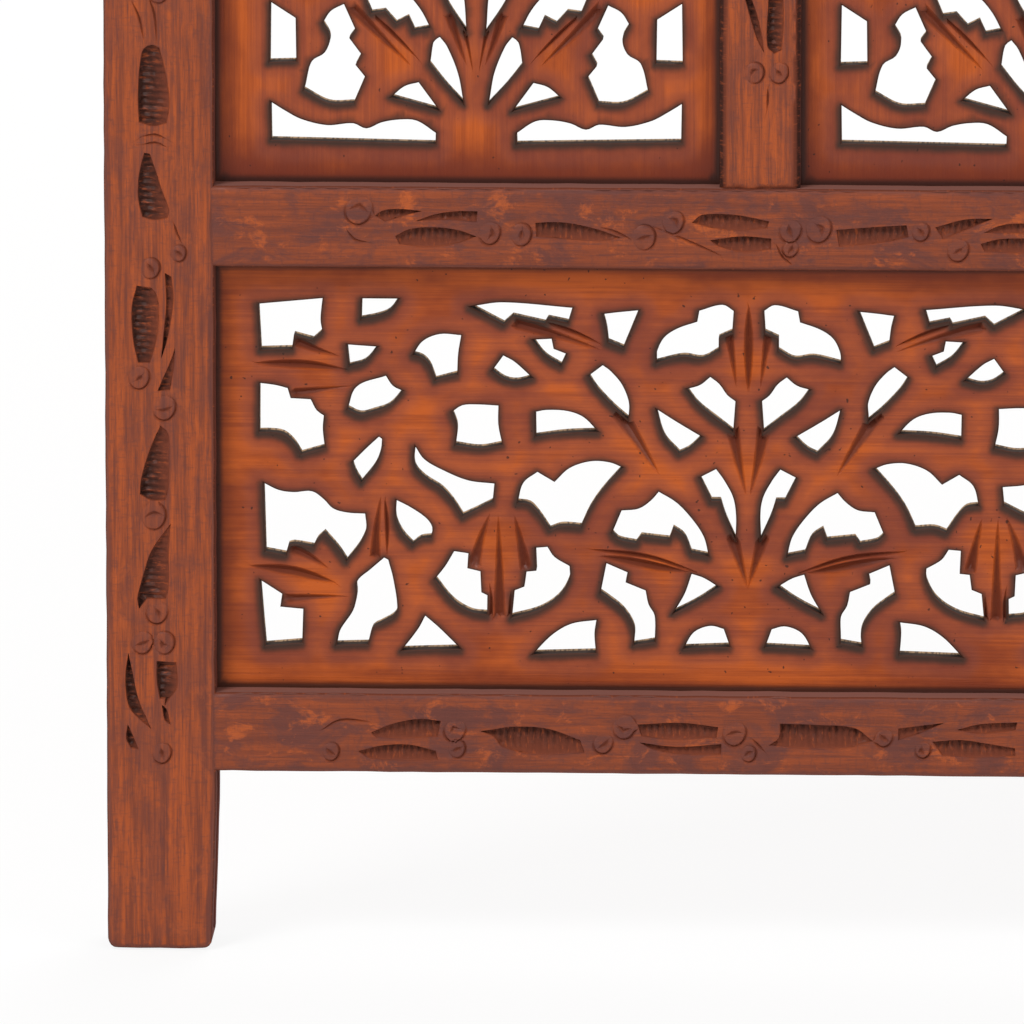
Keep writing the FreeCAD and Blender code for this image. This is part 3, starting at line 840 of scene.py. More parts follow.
# The tall lattices' stems, and the lowest line and the cut-outs of a foot right of its stem.
STEM_PIXEL = 477
RIGHT_STEM_PIXEL = 1043
FOOT_LOW_PIXEL = 141
FOOT_CUT_PIXELS = (
    ((517, 135), (536, 123), (553, 122), (571, 125), (586, 131), (599, 126), (625, 128), (651, 122),
     (668, 113), (681, 105), (682, 138), (519, 141)),
    ((515, 108), (534, 85), (548, 89), (563, 95)),
    ((491, 101), (495, 76), (506, 49), (513, 40), (519, 45), (523, 67), (508, 84)),
    ((608, 8), (621, 15), (629, 27), (622, 41), (627, 56), (640, 65), (648, 93), (625, 101), (600, 101),
     (588, 77), (597, 67), (591, 57), (603, 41), (597, 32)),
    ((656, 22), (681, 6), (682, 65), (657, 60)),
    ((524, 26), (540, 29), (546, 16), (558, 22), (569, 10), (582, 13), (592, -10), (566, -16), (545, -2),
     (532, 13)),
    ((488, 30), (491, -8), (503, -26), (514, -12), (504, 8)),
)
FOOT_GOUGE_PIXELS = (
    (((598, 13), (570, 41), (541, 69)), 10, True),
    (((586, 12), (560, 36), (536, 60)), 4, False),
    (((503, 20), (495, 44), (486, 68)), 8, True),
    (((488, 34), (484, 52), (480, 74)), 4, True),
)
# The bottom lattice's cut-outs that make up the tall lattices' foliage, and their limits.
FOLIAGE_CUTS = ("shield", "blade", "flat_fish", "fan", "right_sleeve", "foot_sail", "bird", "stair",
                "low_leaf", "half_moon", "stem_blade", "stem_kite", "stem_shell", "stem_wing")
FOLIAGE_LOW_PIXEL = 660
FOLIAGE_HIGH_PIXEL = 296

# The frame's carving in the photograph: sunk pockets, incised rings (x, y, radius) and incised lines.
STILE_POCKET_PIXELS = (
    ((147, 54), (155, 50), (163, 53), (167, 68), (171, 88), (173, 108), (170, 128), (156, 131), (142, 127),
     (141, 104), (142, 80), (144, 64)),
    ((147, 157), (153, 158), (158, 172), (165, 194), (172, 214), (170, 222), (157, 224), (145, 221),
     (141, 204), (141, 184), (144, 168)),
    ((139, 289), (154, 291), (160, 300), (161, 330), (157, 351), (152, 366), (140, 366), (135, 342),
     (134, 310)),
    ((167, 276), (174, 280), (176, 302), (173, 325), (169, 345), (163, 362), (165, 340), (168, 308)),
    ((177, 350), (176, 370), (172, 393), (159, 394), (166, 378), (173, 362)),
    ((162, 428), (170, 436), (171, 462), (170, 490), (167, 503), (152, 503), (141, 497), (142, 484),
     (146, 468), (152, 450)),
    ((172, 526), (170, 552), (170, 588), (167, 602), (148, 602), (140, 612), (138, 602), (141, 588),
     (145, 574), (151, 556), (161, 540)),
    ((129, 656), (133, 674), (139, 702), (152, 733), (141, 724), (130, 712), (126, 694), (126, 674)),
    ((157, 664), (177, 665), (178, 690), (170, 702), (160, 702), (157, 684)),
    ((162, 708), (167, 712), (171, 728), (165, 724)),
    ((128, 728), (133, 738), (139, 753), (131, 752), (126, 742)),
)
STILE_RING_PIXELS = ((153, 272, 10), (181, 257, 8), (141, 381, 11), (166, 411, 12), (155, 519, 13),
                     (158, 616, 11), (143, 646, 11), (165, 646, 11), (162, 757, 10))
STILE_LINE_PIXELS = (
    ((145, 141), (158, 139), (169, 143)),
    ((146, 149), (158, 147), (169, 151)),
    ((136, 8), (143, 24), (147, 44)),
    ((152, 2), (158, 20), (160, 44)),
    ((176, 226), (180, 238), (184, 246)),
)
MIDDLE_RAIL_POCKET_PIXELS = (
    ((376, 218), (383, 213), (398, 211), (423, 213), (406, 218), (386, 224)),
    ((416, 223), (436, 216), (457, 213), (478, 213), (477, 224), (449, 222)),
    ((396, 238), (410, 231), (436, 229), (460, 232), (477, 238), (455, 246), (425, 249), (400, 246)),
    ((535, 224), (556, 223), (575, 225), (597, 230), (620, 238), (602, 242), (575, 241), (536, 238)),
    ((690, 223), (700, 215), (735, 215), (767, 221), (765, 228), (735, 231), (708, 228)),
    ((708, 240), (740, 236), (769, 238), (769, 249), (741, 252), (716, 246)),
    ((833, 229), (870, 226), (903, 224), (905, 236), (884, 241), (836, 246)),
    ((931, 226), (960, 218), (989, 217), (968, 226), (939, 238)),
    ((979, 231), (998, 223), (1034, 221), (1040, 228), (1012, 232)),
    ((976, 242), (996, 237), (1034, 238), (1042, 246), (1024, 251), (980, 250)),
)
MIDDLE_RAIL_RING_PIXELS = ((360, 213, 14), (490, 235, 11), (521, 236, 11), (643, 238, 12), (672, 223, 11),
                           (788, 231, 11), (788, 249, 8), (816, 229, 13), (917, 231, 9), (954, 249, 11))
MIDDLE_RAIL_LINE_PIXELS = (
    ((601, 228), (616, 233), (630, 240)),
    ((652, 227), (684, 240), (719, 255)),
    ((348, 232), (356, 242), (368, 244)),
    ((774, 244), (780, 256), (790, 264)),
)
BOTTOM_RAIL_POCKET_PIXELS = (
    ((371, 734), (393, 725), (420, 720), (441, 722), (438, 738), (404, 740), (376, 739)),
    ((358, 753), (382, 747), (409, 746), (436, 752), (438, 761), (404, 762), (369, 760)),
    ((480, 732), (493, 730), (514, 727), (548, 729), (580, 740), (585, 753), (544, 756), (502, 748),
     (494, 738)),
    ((637, 724), (681, 722), (718, 726), (716, 737), (668, 739), (641, 736)),
    ((639, 742), (676, 746), (721, 743), (721, 754), (681, 754), (652, 749)),
    ((779, 722), (816, 723), (854, 726), (872, 739), (843, 747), (803, 747), (768, 744), (778, 736)),
    ((897, 726), (943, 720), (919, 731), (897, 738)),
    ((931, 739), (960, 737), (989, 741), (1014, 745), (1014, 753), (979, 755), (941, 753)),
    ((955, 727), (979, 721), (1016, 719), (1014, 727), (979, 731)),
)
BOTTOM_RAIL_RING_PIXELS = ((455, 732, 11), (457, 750, 9), (603, 744, 10), (624, 727, 12), (734, 733, 12),
                           (748, 753, 8), (883, 736, 9), (922, 748, 8), (331, 754, 9), (1042, 736, 12))
BOTTOM_RAIL_LINE_PIXELS = (
    ((322, 732), (340, 722), (369, 723)),
    ((752, 738), (760, 746), (764, 750)),
)
MULLION_POCKET_PIXELS = (
    ((742, 2), (749, 2), (754, 16), (760, 42), (761, 55), (754, 42), (747, 20)),
    ((765, 2), (780, 2), (781, 20), (779, 52), (771, 56), (764, 48)),
    ((744, -70), (758, -64), (761, -40), (757, -14), (748, -8), (744, -34)),
    ((778, -74), (782, -50), (776, -26), (768, -18), (770, -48)),
)
MULLION_RING_PIXELS = ((752, 75, 10), (776, 75, 10), (756, -86, 10), (774, -92, 8))
MULLION_LINE_PIXELS = (((765, 90), (765, 102), (764, 112)),)
# One run of a stile's and the mullion's carving, which repeats upwards.
STILE_RUN_PIXELS = 758
MULLION_RUN_PIXELS = 206
# The rails' carving right of the photograph is that of their left end, mirrored about this pixel.
RAIL_MIRROR_PIXEL = 763
RAIL_MIRRORED_PIXEL = 1046


def carving_of(pockets, rings, lines):
    """A member's carving as three lists of shapes, each a list of pixels; a ring is a shape of one."""
    return pockets, [[ring] for ring in rings], lines


STILE_CARVING = carving_of(STILE_POCKET_PIXELS, STILE_RING_PIXELS, STILE_LINE_PIXELS)
MIDDLE_RAIL_CARVING = carving_of(MIDDLE_RAIL_POCKET_PIXELS, MIDDLE_RAIL_RING_PIXELS, MIDDLE_RAIL_LINE_PIXELS)
BOTTOM_RAIL_CARVING = carving_of(BOTTOM_RAIL_POCKET_PIXELS, BOTTOM_RAIL_RING_PIXELS, BOTTOM_RAIL_LINE_PIXELS)
MULLION_CARVING = carving_of(MULLION_POCKET_PIXELS, MULLION_RING_PIXELS, MULLION_LINE_PIXELS)


def face_point(pixel):
    """A pixel on the frame's front face, in the panel's own frame."""
    return ((pixel[0] - PANEL_LEFT_PIXEL) / PIXELS_ACROSS_MM - HALF_WIDTH,
            (PANEL_FOOT_PIXEL - pixel[1]) / PIXELS_UP_MM)


def lattice_point(pixel):
    """A pixel on a lattice's front face, in the panel's own frame."""
    return face_point((pixel[0] - LATTICE_SHIFT_PIXELS[0], pixel[1] - LATTICE_SHIFT_PIXELS[1]))


def sawn_outline(pixels):
    """A cut-out's edge on the lattice's front: its white outline and the lower wall that shows below it."""
    points = anticlockwise([lattice_point(pixel) for pixel in pixels])
    wall = Vector((WALL_SHIFT_PIXELS[0] / PIXELS_ACROSS_MM, -WALL_SHIFT_PIXELS[1] / PIXELS_UP_MM))
    opened = []
    for before, here, after in zip(points[-1:] + points[:-1], points, points[1:] + points[:1]):
        along = (Vector(after) - Vector(before)).normalized()
        facing = Vector((along.y, -along.x)).dot(wall.normalized())
        opened.append(tuple(Vector(here) + wall * min(max(WALL_FACING_GAIN * facing, 0.0), 1.0)))
    return opened


def mirrored(points, middle=0.0):
    return [(2 * middle - x, z) for x, z in points]


def arc(centre, radius, start, end, count):
    """Points of an arc between two angles in degrees."""
    turns = [math.radians(start + (end - start) * step / count) for step in range(count + 1)]
    return [(centre[0] + radius * math.cos(turn), centre[1] + radius * math.sin(turn)) for turn in turns]


def rectangle(left, right, low, high):
    return [(left, low), (right, low), (right, high), (left, high)]


# Steps along the rims, the pockets, the veins and the gouges of the buds; and a rim's hand-planed wander.
RIM_STEP = 7.0
RIM_WANDER = 0.10
POCKET_STEP = 1.3
VEIN_STEP = 2.2
BUD_STEP = 0.7
# Steps along the sawn cut-outs of the lattices.
BOTTOM_SAW_STEP = 1.1
FOOT_SAW_STEP = 1.2
FOLIAGE_SAW_STEP = 2.2
TOP_SAW_STEP = 1.8
# Spacing of points on the other boards, as shares of that on the bottom lattice.
FRAME_FACETS = 1.5
RAIL_FACETS = 1.3
HIGH_LATTICE_FACETS = 1.4
# Widths of the carved lines, and their depths as shares of the veins' depth.
RING_WIDTH = 1.1
RING_DEPTH_SHARE = 0.9
BUD_WIDTH = 1.9
BUD_DEPTH_SHARE = 0.9
LINE_WIDTH = 1.0
LINE_DEPTH_SHARE = 0.8
# The gouge across a bud: its reach as shares of the bud's radius, and its bow as a share of that.
BUD_REACH = (0.4, 0.65)
BUD_BOW = 0.7
# The lattices' gouges: how much wider they are than drawn, and the power of the width that gives the depth.
GOUGE_SPREAD = 1.25
GOUGE_DEPTH_POWER = 0.5
# How far the members' ends run under the next one's rounded edge, and the mullion's own rounder edge.
TUCK_SHARE = 0.9
MULLION_ROUND_SHARE = 2.2
# The legs' round feet, the taper on their inner side and the groove in it; the horns above.
FOOT_ROUND = 3.0
FOOT_ARC_STEPS = 4
LEG_TAPER = 1.4
SLOT_DEPTH = 6.0
SLOT_CLEARANCE = 0.15
SLOT_REACH = 1.0
HORN_ARC_STEPS = 16
# What the grooves hide of a lattice, and the plain margin at the head of a tall one.
LATTICE_LIP = 1.0
LATTICE_MARGIN = 13.0
# The arch, and how the middle rail's carving is spread along the crest and across it.
ARCH_RISE = 75.0
OUTER_ARC_STEPS = 60
INNER_ARC_STEPS = 48
CREST_SPREAD = 1.28
CREST_SWELL = 1.7
# Tiers of foliage in a tall lattice, their gap to its foot, and how much narrower they are than drawn.
FOLIAGE_COUNT = 8
FOLIAGE_GAP = 3.25
FOLIAGE_SQUEEZE = 0.86
# The last gouges of the bottom lattice's table are those round its stem, which the foliage repeats.
FOLIAGE_GOUGES = 4
# Seeds of the rims and of the carving.
STILE_SEEDS = (11, 21)
BOTTOM_RAIL_SEEDS = (22, 22)
MIDDLE_RAIL_SEEDS = (23, 23)
MULLION_SEEDS = (31, 32)
CREST_SEEDS = (41, 42)


def frame_board(rim, seeds, edge_round):
    """A member of the frame, with a rim that wanders a little, as a hand plane leaves it."""
    chance = random.Random(seeds[0])
    hand_cut = [(x + chance.uniform(-RIM_WANDER, RIM_WANDER), z + chance.uniform(-RIM_WANDER, RIM_WANDER))
                for x, z in flowing(rim, RIM_STEP)]
    board = Board(hand_cut, seeds[1])
    board.round_rim(edge_round)
    return board


def carve(board, carving, place, sizes):
    """A member's pockets, rings and lines; place gives a pixel's point on the board."""
    pockets, rings, lines = carving
    x, y = rings[0][0][:2]
    scale = (Vector(place((x + 1, y))) - Vector(place((x, y)))).length
    for outline in pockets:
        board.pocket(flowing([place(pixel) for pixel in outline], POCKET_STEP), sizes.pocket_depth)
    for [(x, y, radius)] in rings:
        centre = Vector(place((x, y)))
        reach = radius * scale
        board.ring(centre, reach, RING_WIDTH, sizes.vein_depth * RING_DEPTH_SHARE)
        turn = board.chance.uniform(0, math.pi)
        way = Vector((math.cos(turn), math.sin(turn))) * reach * board.chance.uniform(*BUD_REACH)
        bow = Vector((-way.y, way.x)) * board.chance.uniform(-BUD_BOW, BUD_BOW)
        gouge = [tuple(centre - way), tuple(centre + bow), tuple(centre + way)]
        board.groove(flowing(gouge, BUD_STEP, closed=False), BUD_WIDTH, sizes.vein_depth * BUD_DEPTH_SHARE)
    for path in lines:
        board.groove(flowing([place(pixel) for pixel in path], VEIN_STEP, closed=False), LINE_WIDTH,
                     sizes.vein_depth * LINE_DEPTH_SHARE)


def carve_runs(board, carving, run, level, head, sizes):
    """Carving that repeats upwards in runs, as long as a run's level, in pixels, lies below the head."""
    rise = 0
    while face_point((0, level - rise))[1] < head:
        def place(pixel, rise=rise):
            return face_point((pixel[0], pixel[1] - rise))

        fitting = [[shape for shape in shapes if max(place(pixel)[1] for pixel in shape) < head]
                   for shapes in carving]
        carve(board, fitting, place, sizes)
        rise += run


def with_mirror(shapes):
    """A rail's carving, with its left end repeated at the right end that the photograph doesn't reach."""
    far = [[(2 * RAIL_MIRROR_PIXEL - pixel[0], *pixel[1:]) for pixel in shape] for shape in shapes]
    return list(shapes) + [shape for shape in far if min(pixel[0] for pixel in shape) > RAIL_MIRRORED_PIXEL]


def stile_board(sizes, side):
    """A stile: a leg that tapers on its inner side, a round horn above, and carving up its face."""
    half = STILE_WIDTH / 2
    middle = half - HALF_WIDTH
    head = STILE_HIGH.z - half
    knee = RAIL_LEVELS["bottom_rail"][0]
    left = middle - half + (LEG_TAPER if side < 0 else 0.0)
    right = middle + half - (LEG_TAPER if side > 0 else 0.0)
    rim = arc((left + FOOT_ROUND, FOOT_ROUND), FOOT_ROUND, 180, 270, FOOT_ARC_STEPS)
    rim += arc((right - FOOT_ROUND, FOOT_ROUND), FOOT_ROUND, 270, 360, FOOT_ARC_STEPS)
    rim += [(middle + half, knee), *arc((middle, head), half, 0, 180, HORN_ARC_STEPS), (middle - half, knee)]
    board = frame_board(rim, STILE_SEEDS, sizes.edge_round)
    carve_runs(board, STILE_CARVING, STILE_RUN_PIXELS, STILE_RUN_PIXELS, head, sizes)
    board.scatter(sizes.board_grain * FRAME_FACETS)
    return board


def leg_slot(side):
    """The lattices' groove where it runs on down a leg's inner side; side is where that lies."""
    middle = STILE_WIDTH / 2 - HALF_WIDTH
    return {"side": side, "edge": side * middle + STILE_WIDTH / 2 - LEG_TAPER - SLOT_REACH,
            "depth": SLOT_DEPTH,
            "heights": (FOOT_ROUND - SLOT_REACH, RAIL_LEVELS["bottom_rail"][1]),
            "depths": (LATTICE_FRONT - SLOT_CLEARANCE, LATTICE_FRONT + LATTICE_THICKNESS + SLOT_CLEARANCE)}


def rail_board(name, carving, seeds, sizes):
    """A rail between the stiles; its ends run a little way under their rounded edges."""
    low, high = RAIL_LEVELS[name]
    reach = HALF_OPENING + sizes.edge_round * TUCK_SHARE
    board = frame_board(rectangle(-reach, reach, low, high), seeds, sizes.edge_round)
    carve(board, [with_mirror(shapes) for shapes in carving], face_point, sizes)
    board.scatter(sizes.board_grain * RAIL_FACETS)
    return board


def mullion_board(sizes):
    """The post between the tall lattices, with carving that repeats up its face."""
    low = RAIL_LEVELS["middle_rail"][1] - sizes.edge_round * TUCK_SHARE
    high = RAIL_LEVELS["upper_rail"][0] + sizes.edge_round * TUCK_SHARE
    board = frame_board(rectangle(MULLION_LEFT, MULLION_RIGHT, low, high), MULLION_SEEDS,
                        sizes.edge_round * MULLION_ROUND_SHARE)
    carve_runs(board, MULLION_CARVING, MULLION_RUN_PIXELS, -MULLION_RUN_PIXELS, high, sizes)
    board.scatter(sizes.board_grain * FRAME_FACETS)
    return board


def crest_circle():
    """Radius and centre height of the crest's inner arch, and the crest's depth."""
    radius = (HALF_OPENING ** 2 + ARCH_RISE ** 2) / (2 * ARCH_RISE)
    centre = SPRING_LEVEL + ARCH_RISE - radius
    return radius, centre, CREST_TOP - SPRING_LEVEL - ARCH_RISE


def crest_board(sizes):
    """The arched top rail, carved like the middle rail."""
    inner, centre, depth = crest_circle()
    outer = inner + depth
    reach = HALF_OPENING + sizes.edge_round * TUCK_SHARE
    inner_end = math.degrees(math.acos(reach / inner))
    outer_end = math.degrees(math.acos(reach / outer))
    rim = arc((0, centre), outer, outer_end, 180 - outer_end, OUTER_ARC_STEPS)
    rim += arc((0, centre), inner, 180 - inner_end, inner_end, INNER_ARC_STEPS)
    board = frame_board(rim, CREST_SEEDS, sizes.edge_round)
    low, high = RAIL_LEVELS["middle_rail"]

    def place(pixel):
        x, z = face_point(pixel)
        radius = (inner + outer) / 2 + (z - (low + high) / 2) * CREST_SWELL
        turn = math.pi / 2 - x * CREST_SPREAD / ((inner + outer) / 2)
        return radius * math.cos(turn), centre + radius * math.sin(turn)

    carve(board, [with_mirror(shapes) for shapes in MIDDLE_RAIL_CARVING], place, sizes)
    board.scatter(sizes.board_grain * FRAME_FACETS)
    return board


def lattice_board(rim):
    """A lattice's plain board."""
    board = Board(flowing(rim, RIM_STEP))
    board.line(board.rim, 0.0)
    return board


def saw_pattern(board, pattern, sizes, step):
    """Cut-outs and veins of a lattice, given in the panel's own frame."""
    outlines, veins = pattern
    for outline in outlines:
        board.cut(flowing(outline, step), sizes.cut_ease)
    for vein, width, wedge in veins:
        depth = sizes.vein_depth * width ** GOUGE_DEPTH_POWER
        board.groove(flowing(vein, VEIN_STEP, closed=False), width, depth, wedge)


def drawn_gouges(table):
    """Gouges of a table in the panel's own frame."""
    return [([lattice_point(pixel) for pixel in line], width * GOUGE_SPREAD / PIXELS_ACROSS_MM, wedge)
            for line, width, wedge in table]


def moved_pattern(pattern, move):
    """A pattern whose points are moved by a function."""
    outlines, veins = pattern
    return ([[move(point) for point in outline] for outline in outlines],
            [([move(point) for point in line], width, wedge) for line, width, wedge in veins])


def both_sides(cut_tables, gouge_table, middle):
    """Cut-outs and veins drawn on one side of a stem's middle, and their mirror images."""
    cuts = [sawn_outline(pixels) for pixels in cut_tables]
    cuts += [mirrored(cut, middle) for cut in cuts]
    veins = drawn_gouges(gouge_table)
    veins += [(mirrored(line, middle), width, wedge) for line, width, wedge in veins]
    return cuts, veins


def lower_pattern():
    """The bottom lattice's cut-outs and veins."""
    cuts, veins = both_sides(LOWER_CUT_PIXELS.values(), LOWER_GOUGE_PIXELS, 0.0)
    return cuts, veins + drawn_gouges(MIDDLE_GOUGE_PIXELS)


def foot_pattern(shift):
    """Cut-outs and veins of a tall lattice's foot, both sides of its stem, moved by a shift."""
    stem = lattice_point((STEM_PIXEL, 0))[0]
    pattern = both_sides(FOOT_CUT_PIXELS, FOOT_GOUGE_PIXELS, stem)
    return moved_pattern(pattern, lambda point: (point[0] + shift[0], point[1] + shift[1]))


def foliage_pattern(stem, base, pitch):
    """One tier of a tall lattice's foliage above its foot."""
    low = lattice_point((0, FOLIAGE_LOW_PIXEL))[1]
    high = lattice_point((0, FOLIAGE_HIGH_PIXEL))[1]

    def lift(points, side):
        return [(stem + side * x * FOLIAGE_SQUEEZE, base + (z - low) * pitch / (high - low))
                for x, z in points]

    cuts = [lift(sawn_outline(LOWER_CUT_PIXELS[name]), side) for name in FOLIAGE_CUTS for side in (1, -1)]
    veins = [(lift(line, 1), width, wedge) for line, width, wedge in drawn_gouges(MIDDLE_GOUGE_PIXELS)]
    veins += [(lift(line, side), width, wedge) for side in (1, -1)
              for line, width, wedge in drawn_gouges(LOWER_GOUGE_PIXELS[-FOLIAGE_GOUGES:])]
    return cuts, veins


def bottom_lattice_board(sizes):
    """The lattice between the two lower rails, as the photograph shows its left half."""
    low, high = RAIL_LEVELS["bottom_rail"][1], RAIL_LEVELS["middle_rail"][0]
    reach = HALF_OPENING + LATTICE_LIP
    board = lattice_board(rectangle(-reach, reach, low - LATTICE_LIP, high + LATTICE_LIP))
    saw_pattern(board, lower_pattern(), sizes, BOTTOM_SAW_STEP)
    board.scatter(sizes.board_grain)
    return board


def tall_lattice_board(sizes, left, right, stem_pixel):
    """A tall lattice: the foot that the photograph shows and tiers of foliage above it."""
    low, high = RAIL_LEVELS["middle_rail"][1], RAIL_LEVELS["upper_rail"][0]
    board = lattice_board(rectangle(left - LATTICE_LIP, right + LATTICE_LIP, low - LATTICE_LIP,
                                    high + LATTICE_LIP))
    stem = lattice_point((stem_pixel, 0))[0]
    foot = foot_pattern((stem - lattice_point((STEM_PIXEL, 0))[0], 0.0))
    saw_pattern(board, foot, sizes, FOOT_SAW_STEP)
    base = max(z for cut in foot[0] for x, z in cut) + FOLIAGE_GAP
    pitch = (high - LATTICE_MARGIN - base) / FOLIAGE_COUNT
    for tier in range(FOLIAGE_COUNT):
        saw_pattern(board, foliage_pattern(stem, base + tier * pitch, pitch), sizes, FOLIAGE_SAW_STEP)
    board.scatter(sizes.board_grain * HIGH_LATTICE_FACETS)
    return board


def top_lattice_board(sizes):
    """The lattice under the arch: the bottom lattice's pattern stretched, and a foot's pattern as crown."""
    inner, centre = crest_circle()[:2]
    low = RAIL_LEVELS["upper_rail"][1]
    reach = HALF_OPENING + LATTICE_LIP
    end = math.degrees(math.acos(reach / (inner + LATTICE_LIP)))
    rim = [(-reach, low - LATTICE_LIP), (reach, low - LATTICE_LIP)]
    rim += arc((0, centre), inner + LATTICE_LIP, end, 180 - end, INNER_ARC_STEPS)
    board = lattice_board(rim)
    drawn_low, drawn_high = RAIL_LEVELS["bottom_rail"][1], RAIL_LEVELS["middle_rail"][0]
    stretch = (SPRING_LEVEL - low) / (drawn_high - drawn_low)
    lower = moved_pattern(lower_pattern(),
                          lambda point: (point[0], low + (point[1] - drawn_low) * stretch))
    saw_pattern(board, lower, sizes, TOP_SAW_STEP)
    stem, foot = lattice_point((STEM_PIXEL, FOOT_LOW_PIXEL))
    saw_pattern(board, foot_pattern((-stem, SPRING_LEVEL - foot)), sizes, TOP_SAW_STEP)
    board.scatter(sizes.board_grain * HIGH_LATTICE_FACETS)
    return board


LATHE_SIDES = 28


def lathe(name, profile, sides=LATHE_SIDES):
    """A closed profile of (radius, height) points in millimetres, turned about the Z axis."""
    form = bmesh.new()
    rings = []
    for radius, height in profile:
        turns = [2 * math.pi * side / sides for side in range(sides)]
        spots = [(radius * math.cos(turn), radius * math.sin(turn), height) for turn in turns]
        if radius == 0:
            rings.append([form.verts.new((0, 0, height * MM))] * sides)
        else:
            rings.append([form.verts.new(Vector(spot) * MM) for spot in spots])
    for lower, upper in zip(rings, rings[1:] + rings[:1]):
        for side in range(sides):
            loop = [lower[side], lower[side - sides + 1], upper[side - sides + 1], upper[side]]
            corners = list(dict.fromkeys(loop))
            if len(corners) > 2:
                form.faces.new(corners)
    bmesh.ops.recalc_face_normals(form, faces=form.faces)
    mesh = bpy.data.meshes.new(name)
    form.to_mesh(mesh)
    form.free()
    return mesh


def gather(name, parts):
    """One mesh of several, each placed by a matrix."""
    form = bmesh.new()
    for mesh, place in parts:
        copy = mesh.copy()
        copy.transform(place)
        form.from_mesh(copy)
        bpy.data.meshes.remove(copy)
    for face in form.faces:
        face.material_index = FACE_SLOT
    whole = bpy.data.meshes.new(name)
    form.to_mesh(whole)
    form.free()
    whole.shade_smooth()
    whole.set_sharp_from_angle(angle=SHARP_EDGE)
    return whole


def scaled_move(x, y, z):
    return Matrix.Translation(Vector((x, y, z)) * MM)


# Hinges in millimetres, about the pin.
LEAF_HEIGHT = 60.0
LEAF_WIDTH = 18.0
LEAF_THICKNESS = 1.5
LEAF_GAP = 0.2
LEAF_EASE = 0.3
LEAF_STEP = 3.0
LEAF_FACETS = 4.0
KNUCKLE_RADIUS = 3.0
KNUCKLE_CLEARANCE = 0.3
KNUCKLE_COUNT = 3
# How near to the pin the leaf's tongues reach, as a share of a knuckle's radius.
TONGUE_SHARE = 0.6
# Points of a leaf's rim nearer than this are one.
LEAF_WELD = 0.2
OUTER_KNUCKLES = (0, 2)
INNER_KNUCKLES = (1,)
PIN_RADIUS = 1.5
PIN_BORE = 1.55
# The pin's domed head: shares of a knuckle's radius, and heights above the knuckle.
PIN_DOME = ((0.9, 0.0), (1.0, 0.6), (0.8, 1.3), (0.4, 1.5), (0.0, 1.5))
SCREW_HEAD_RADIUS = 2.8
SCREW_RADIUS = 1.3
SCREW_LENGTH = 14.0
SCREW_SIDES = 24
SHANK_SIDES = 12
# Where a screw's point begins, as a share of its length.
SCREW_POINT_SHARE = 0.8
# A screw's place: shares of the leaf's height from its middle, and of its width from the outer edge.
SCREW_HEIGHT_SHARES = (-0.32, 0.32)
SCREW_LINE_SHARE = 0.4
# The slot across a head: its width and depth, its points, and its turn in degrees.
SCREW_SLOT = 0.7
SCREW_SLOT_POINTS = (-2.2, -1.1, 0, 1.1, 2.2)
SCREW_SLOT_TURN = 35
SCREW_SLOT_SPREAD = 60
SCREW_CLEARANCE = 0.12
SCREW_PROUD = 0.05
SCREW_FACETS = 1.0
FOLDS = {"left": "left_panel", "right": "right_panel"}


def hinge_bottoms():
    """Heights of the bottoms of the two hinges of a fold."""
    low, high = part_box("left_fold_outer_leaves")
    return low[2] / MM, high[2] / MM - LEAF_HEIGHT


def knuckle_span(knuckle):
    pitch = LEAF_HEIGHT / KNUCKLE_COUNT
    return knuckle * pitch + KNUCKLE_CLEARANCE / 2, (knuckle + 1) * pitch - KNUCKLE_CLEARANCE / 2


def screw_circle(side, share, radius):
    """A circle about a screw's middle on its leaf, in the leaf's own plane, and that middle."""
    across = KNUCKLE_RADIUS + KNUCKLE_CLEARANCE + LEAF_WIDTH * (1 - SCREW_LINE_SHARE)
    middle = (side * across, LEAF_HEIGHT * (0.5 + share))
    return arc(middle, radius, 0, 360 - 360 / SCREW_SIDES, SCREW_SIDES - 1), middle


def turned_to(side):
    """From a leaf's drawn plane to its place beside the pin."""
    return Matrix.Rotation(math.radians(-90 * side), 4, "Z")


def leaf_mesh(name, side, knuckles):
    """A leaf with its knuckles about the pin, from its bottom up; side is where its panel lies."""
    root = KNUCKLE_RADIUS + KNUCKLE_CLEARANCE
    tongue = KNUCKLE_RADIUS * TONGUE_SHARE
    rim = [(-root - LEAF_WIDTH, 0.0), (-root, 0.0)]
    for low, high in map(knuckle_span, knuckles):
        rim += [(-root, low), (-tongue, low), (-tongue, high), (-root, high)]
    rim += [(-root, LEAF_HEIGHT), (-root - LEAF_WIDTH, LEAF_HEIGHT)]
    rim = [point for index, point in enumerate(rim) if math.dist(point, rim[index - 1]) > LEAF_WELD]
    if side > 0:
        rim = mirrored(rim)
    board = Board(flowing(rim, LEAF_STEP))
    board.round_rim(LEAF_EASE)
    for share in SCREW_HEIGHT_SHARES:
        board.cut(screw_circle(side, share, SCREW_HEAD_RADIUS + SCREW_CLEARANCE)[0], SCREW_CLEARANCE)
    board.scatter(LEAF_FACETS)
    plate = board.mesh(name + "_plate", LEAF_GAP, LEAF_THICKNESS, UPRIGHT, LEAF_EASE)
    parts = [(plate, turned_to(side))]
    for low, high in map(knuckle_span, knuckles):
        profile = [(PIN_BORE, low), (KNUCKLE_RADIUS - LEAF_EASE, low), (KNUCKLE_RADIUS, low + LEAF_EASE),
                   (KNUCKLE_RADIUS, high - LEAF_EASE), (KNUCKLE_RADIUS - LEAF_EASE, high), (PIN_BORE, high)]
        parts.append((lathe(name + "_knuckle", profile), Matrix.Identity(4)))
    return gather(name, parts)


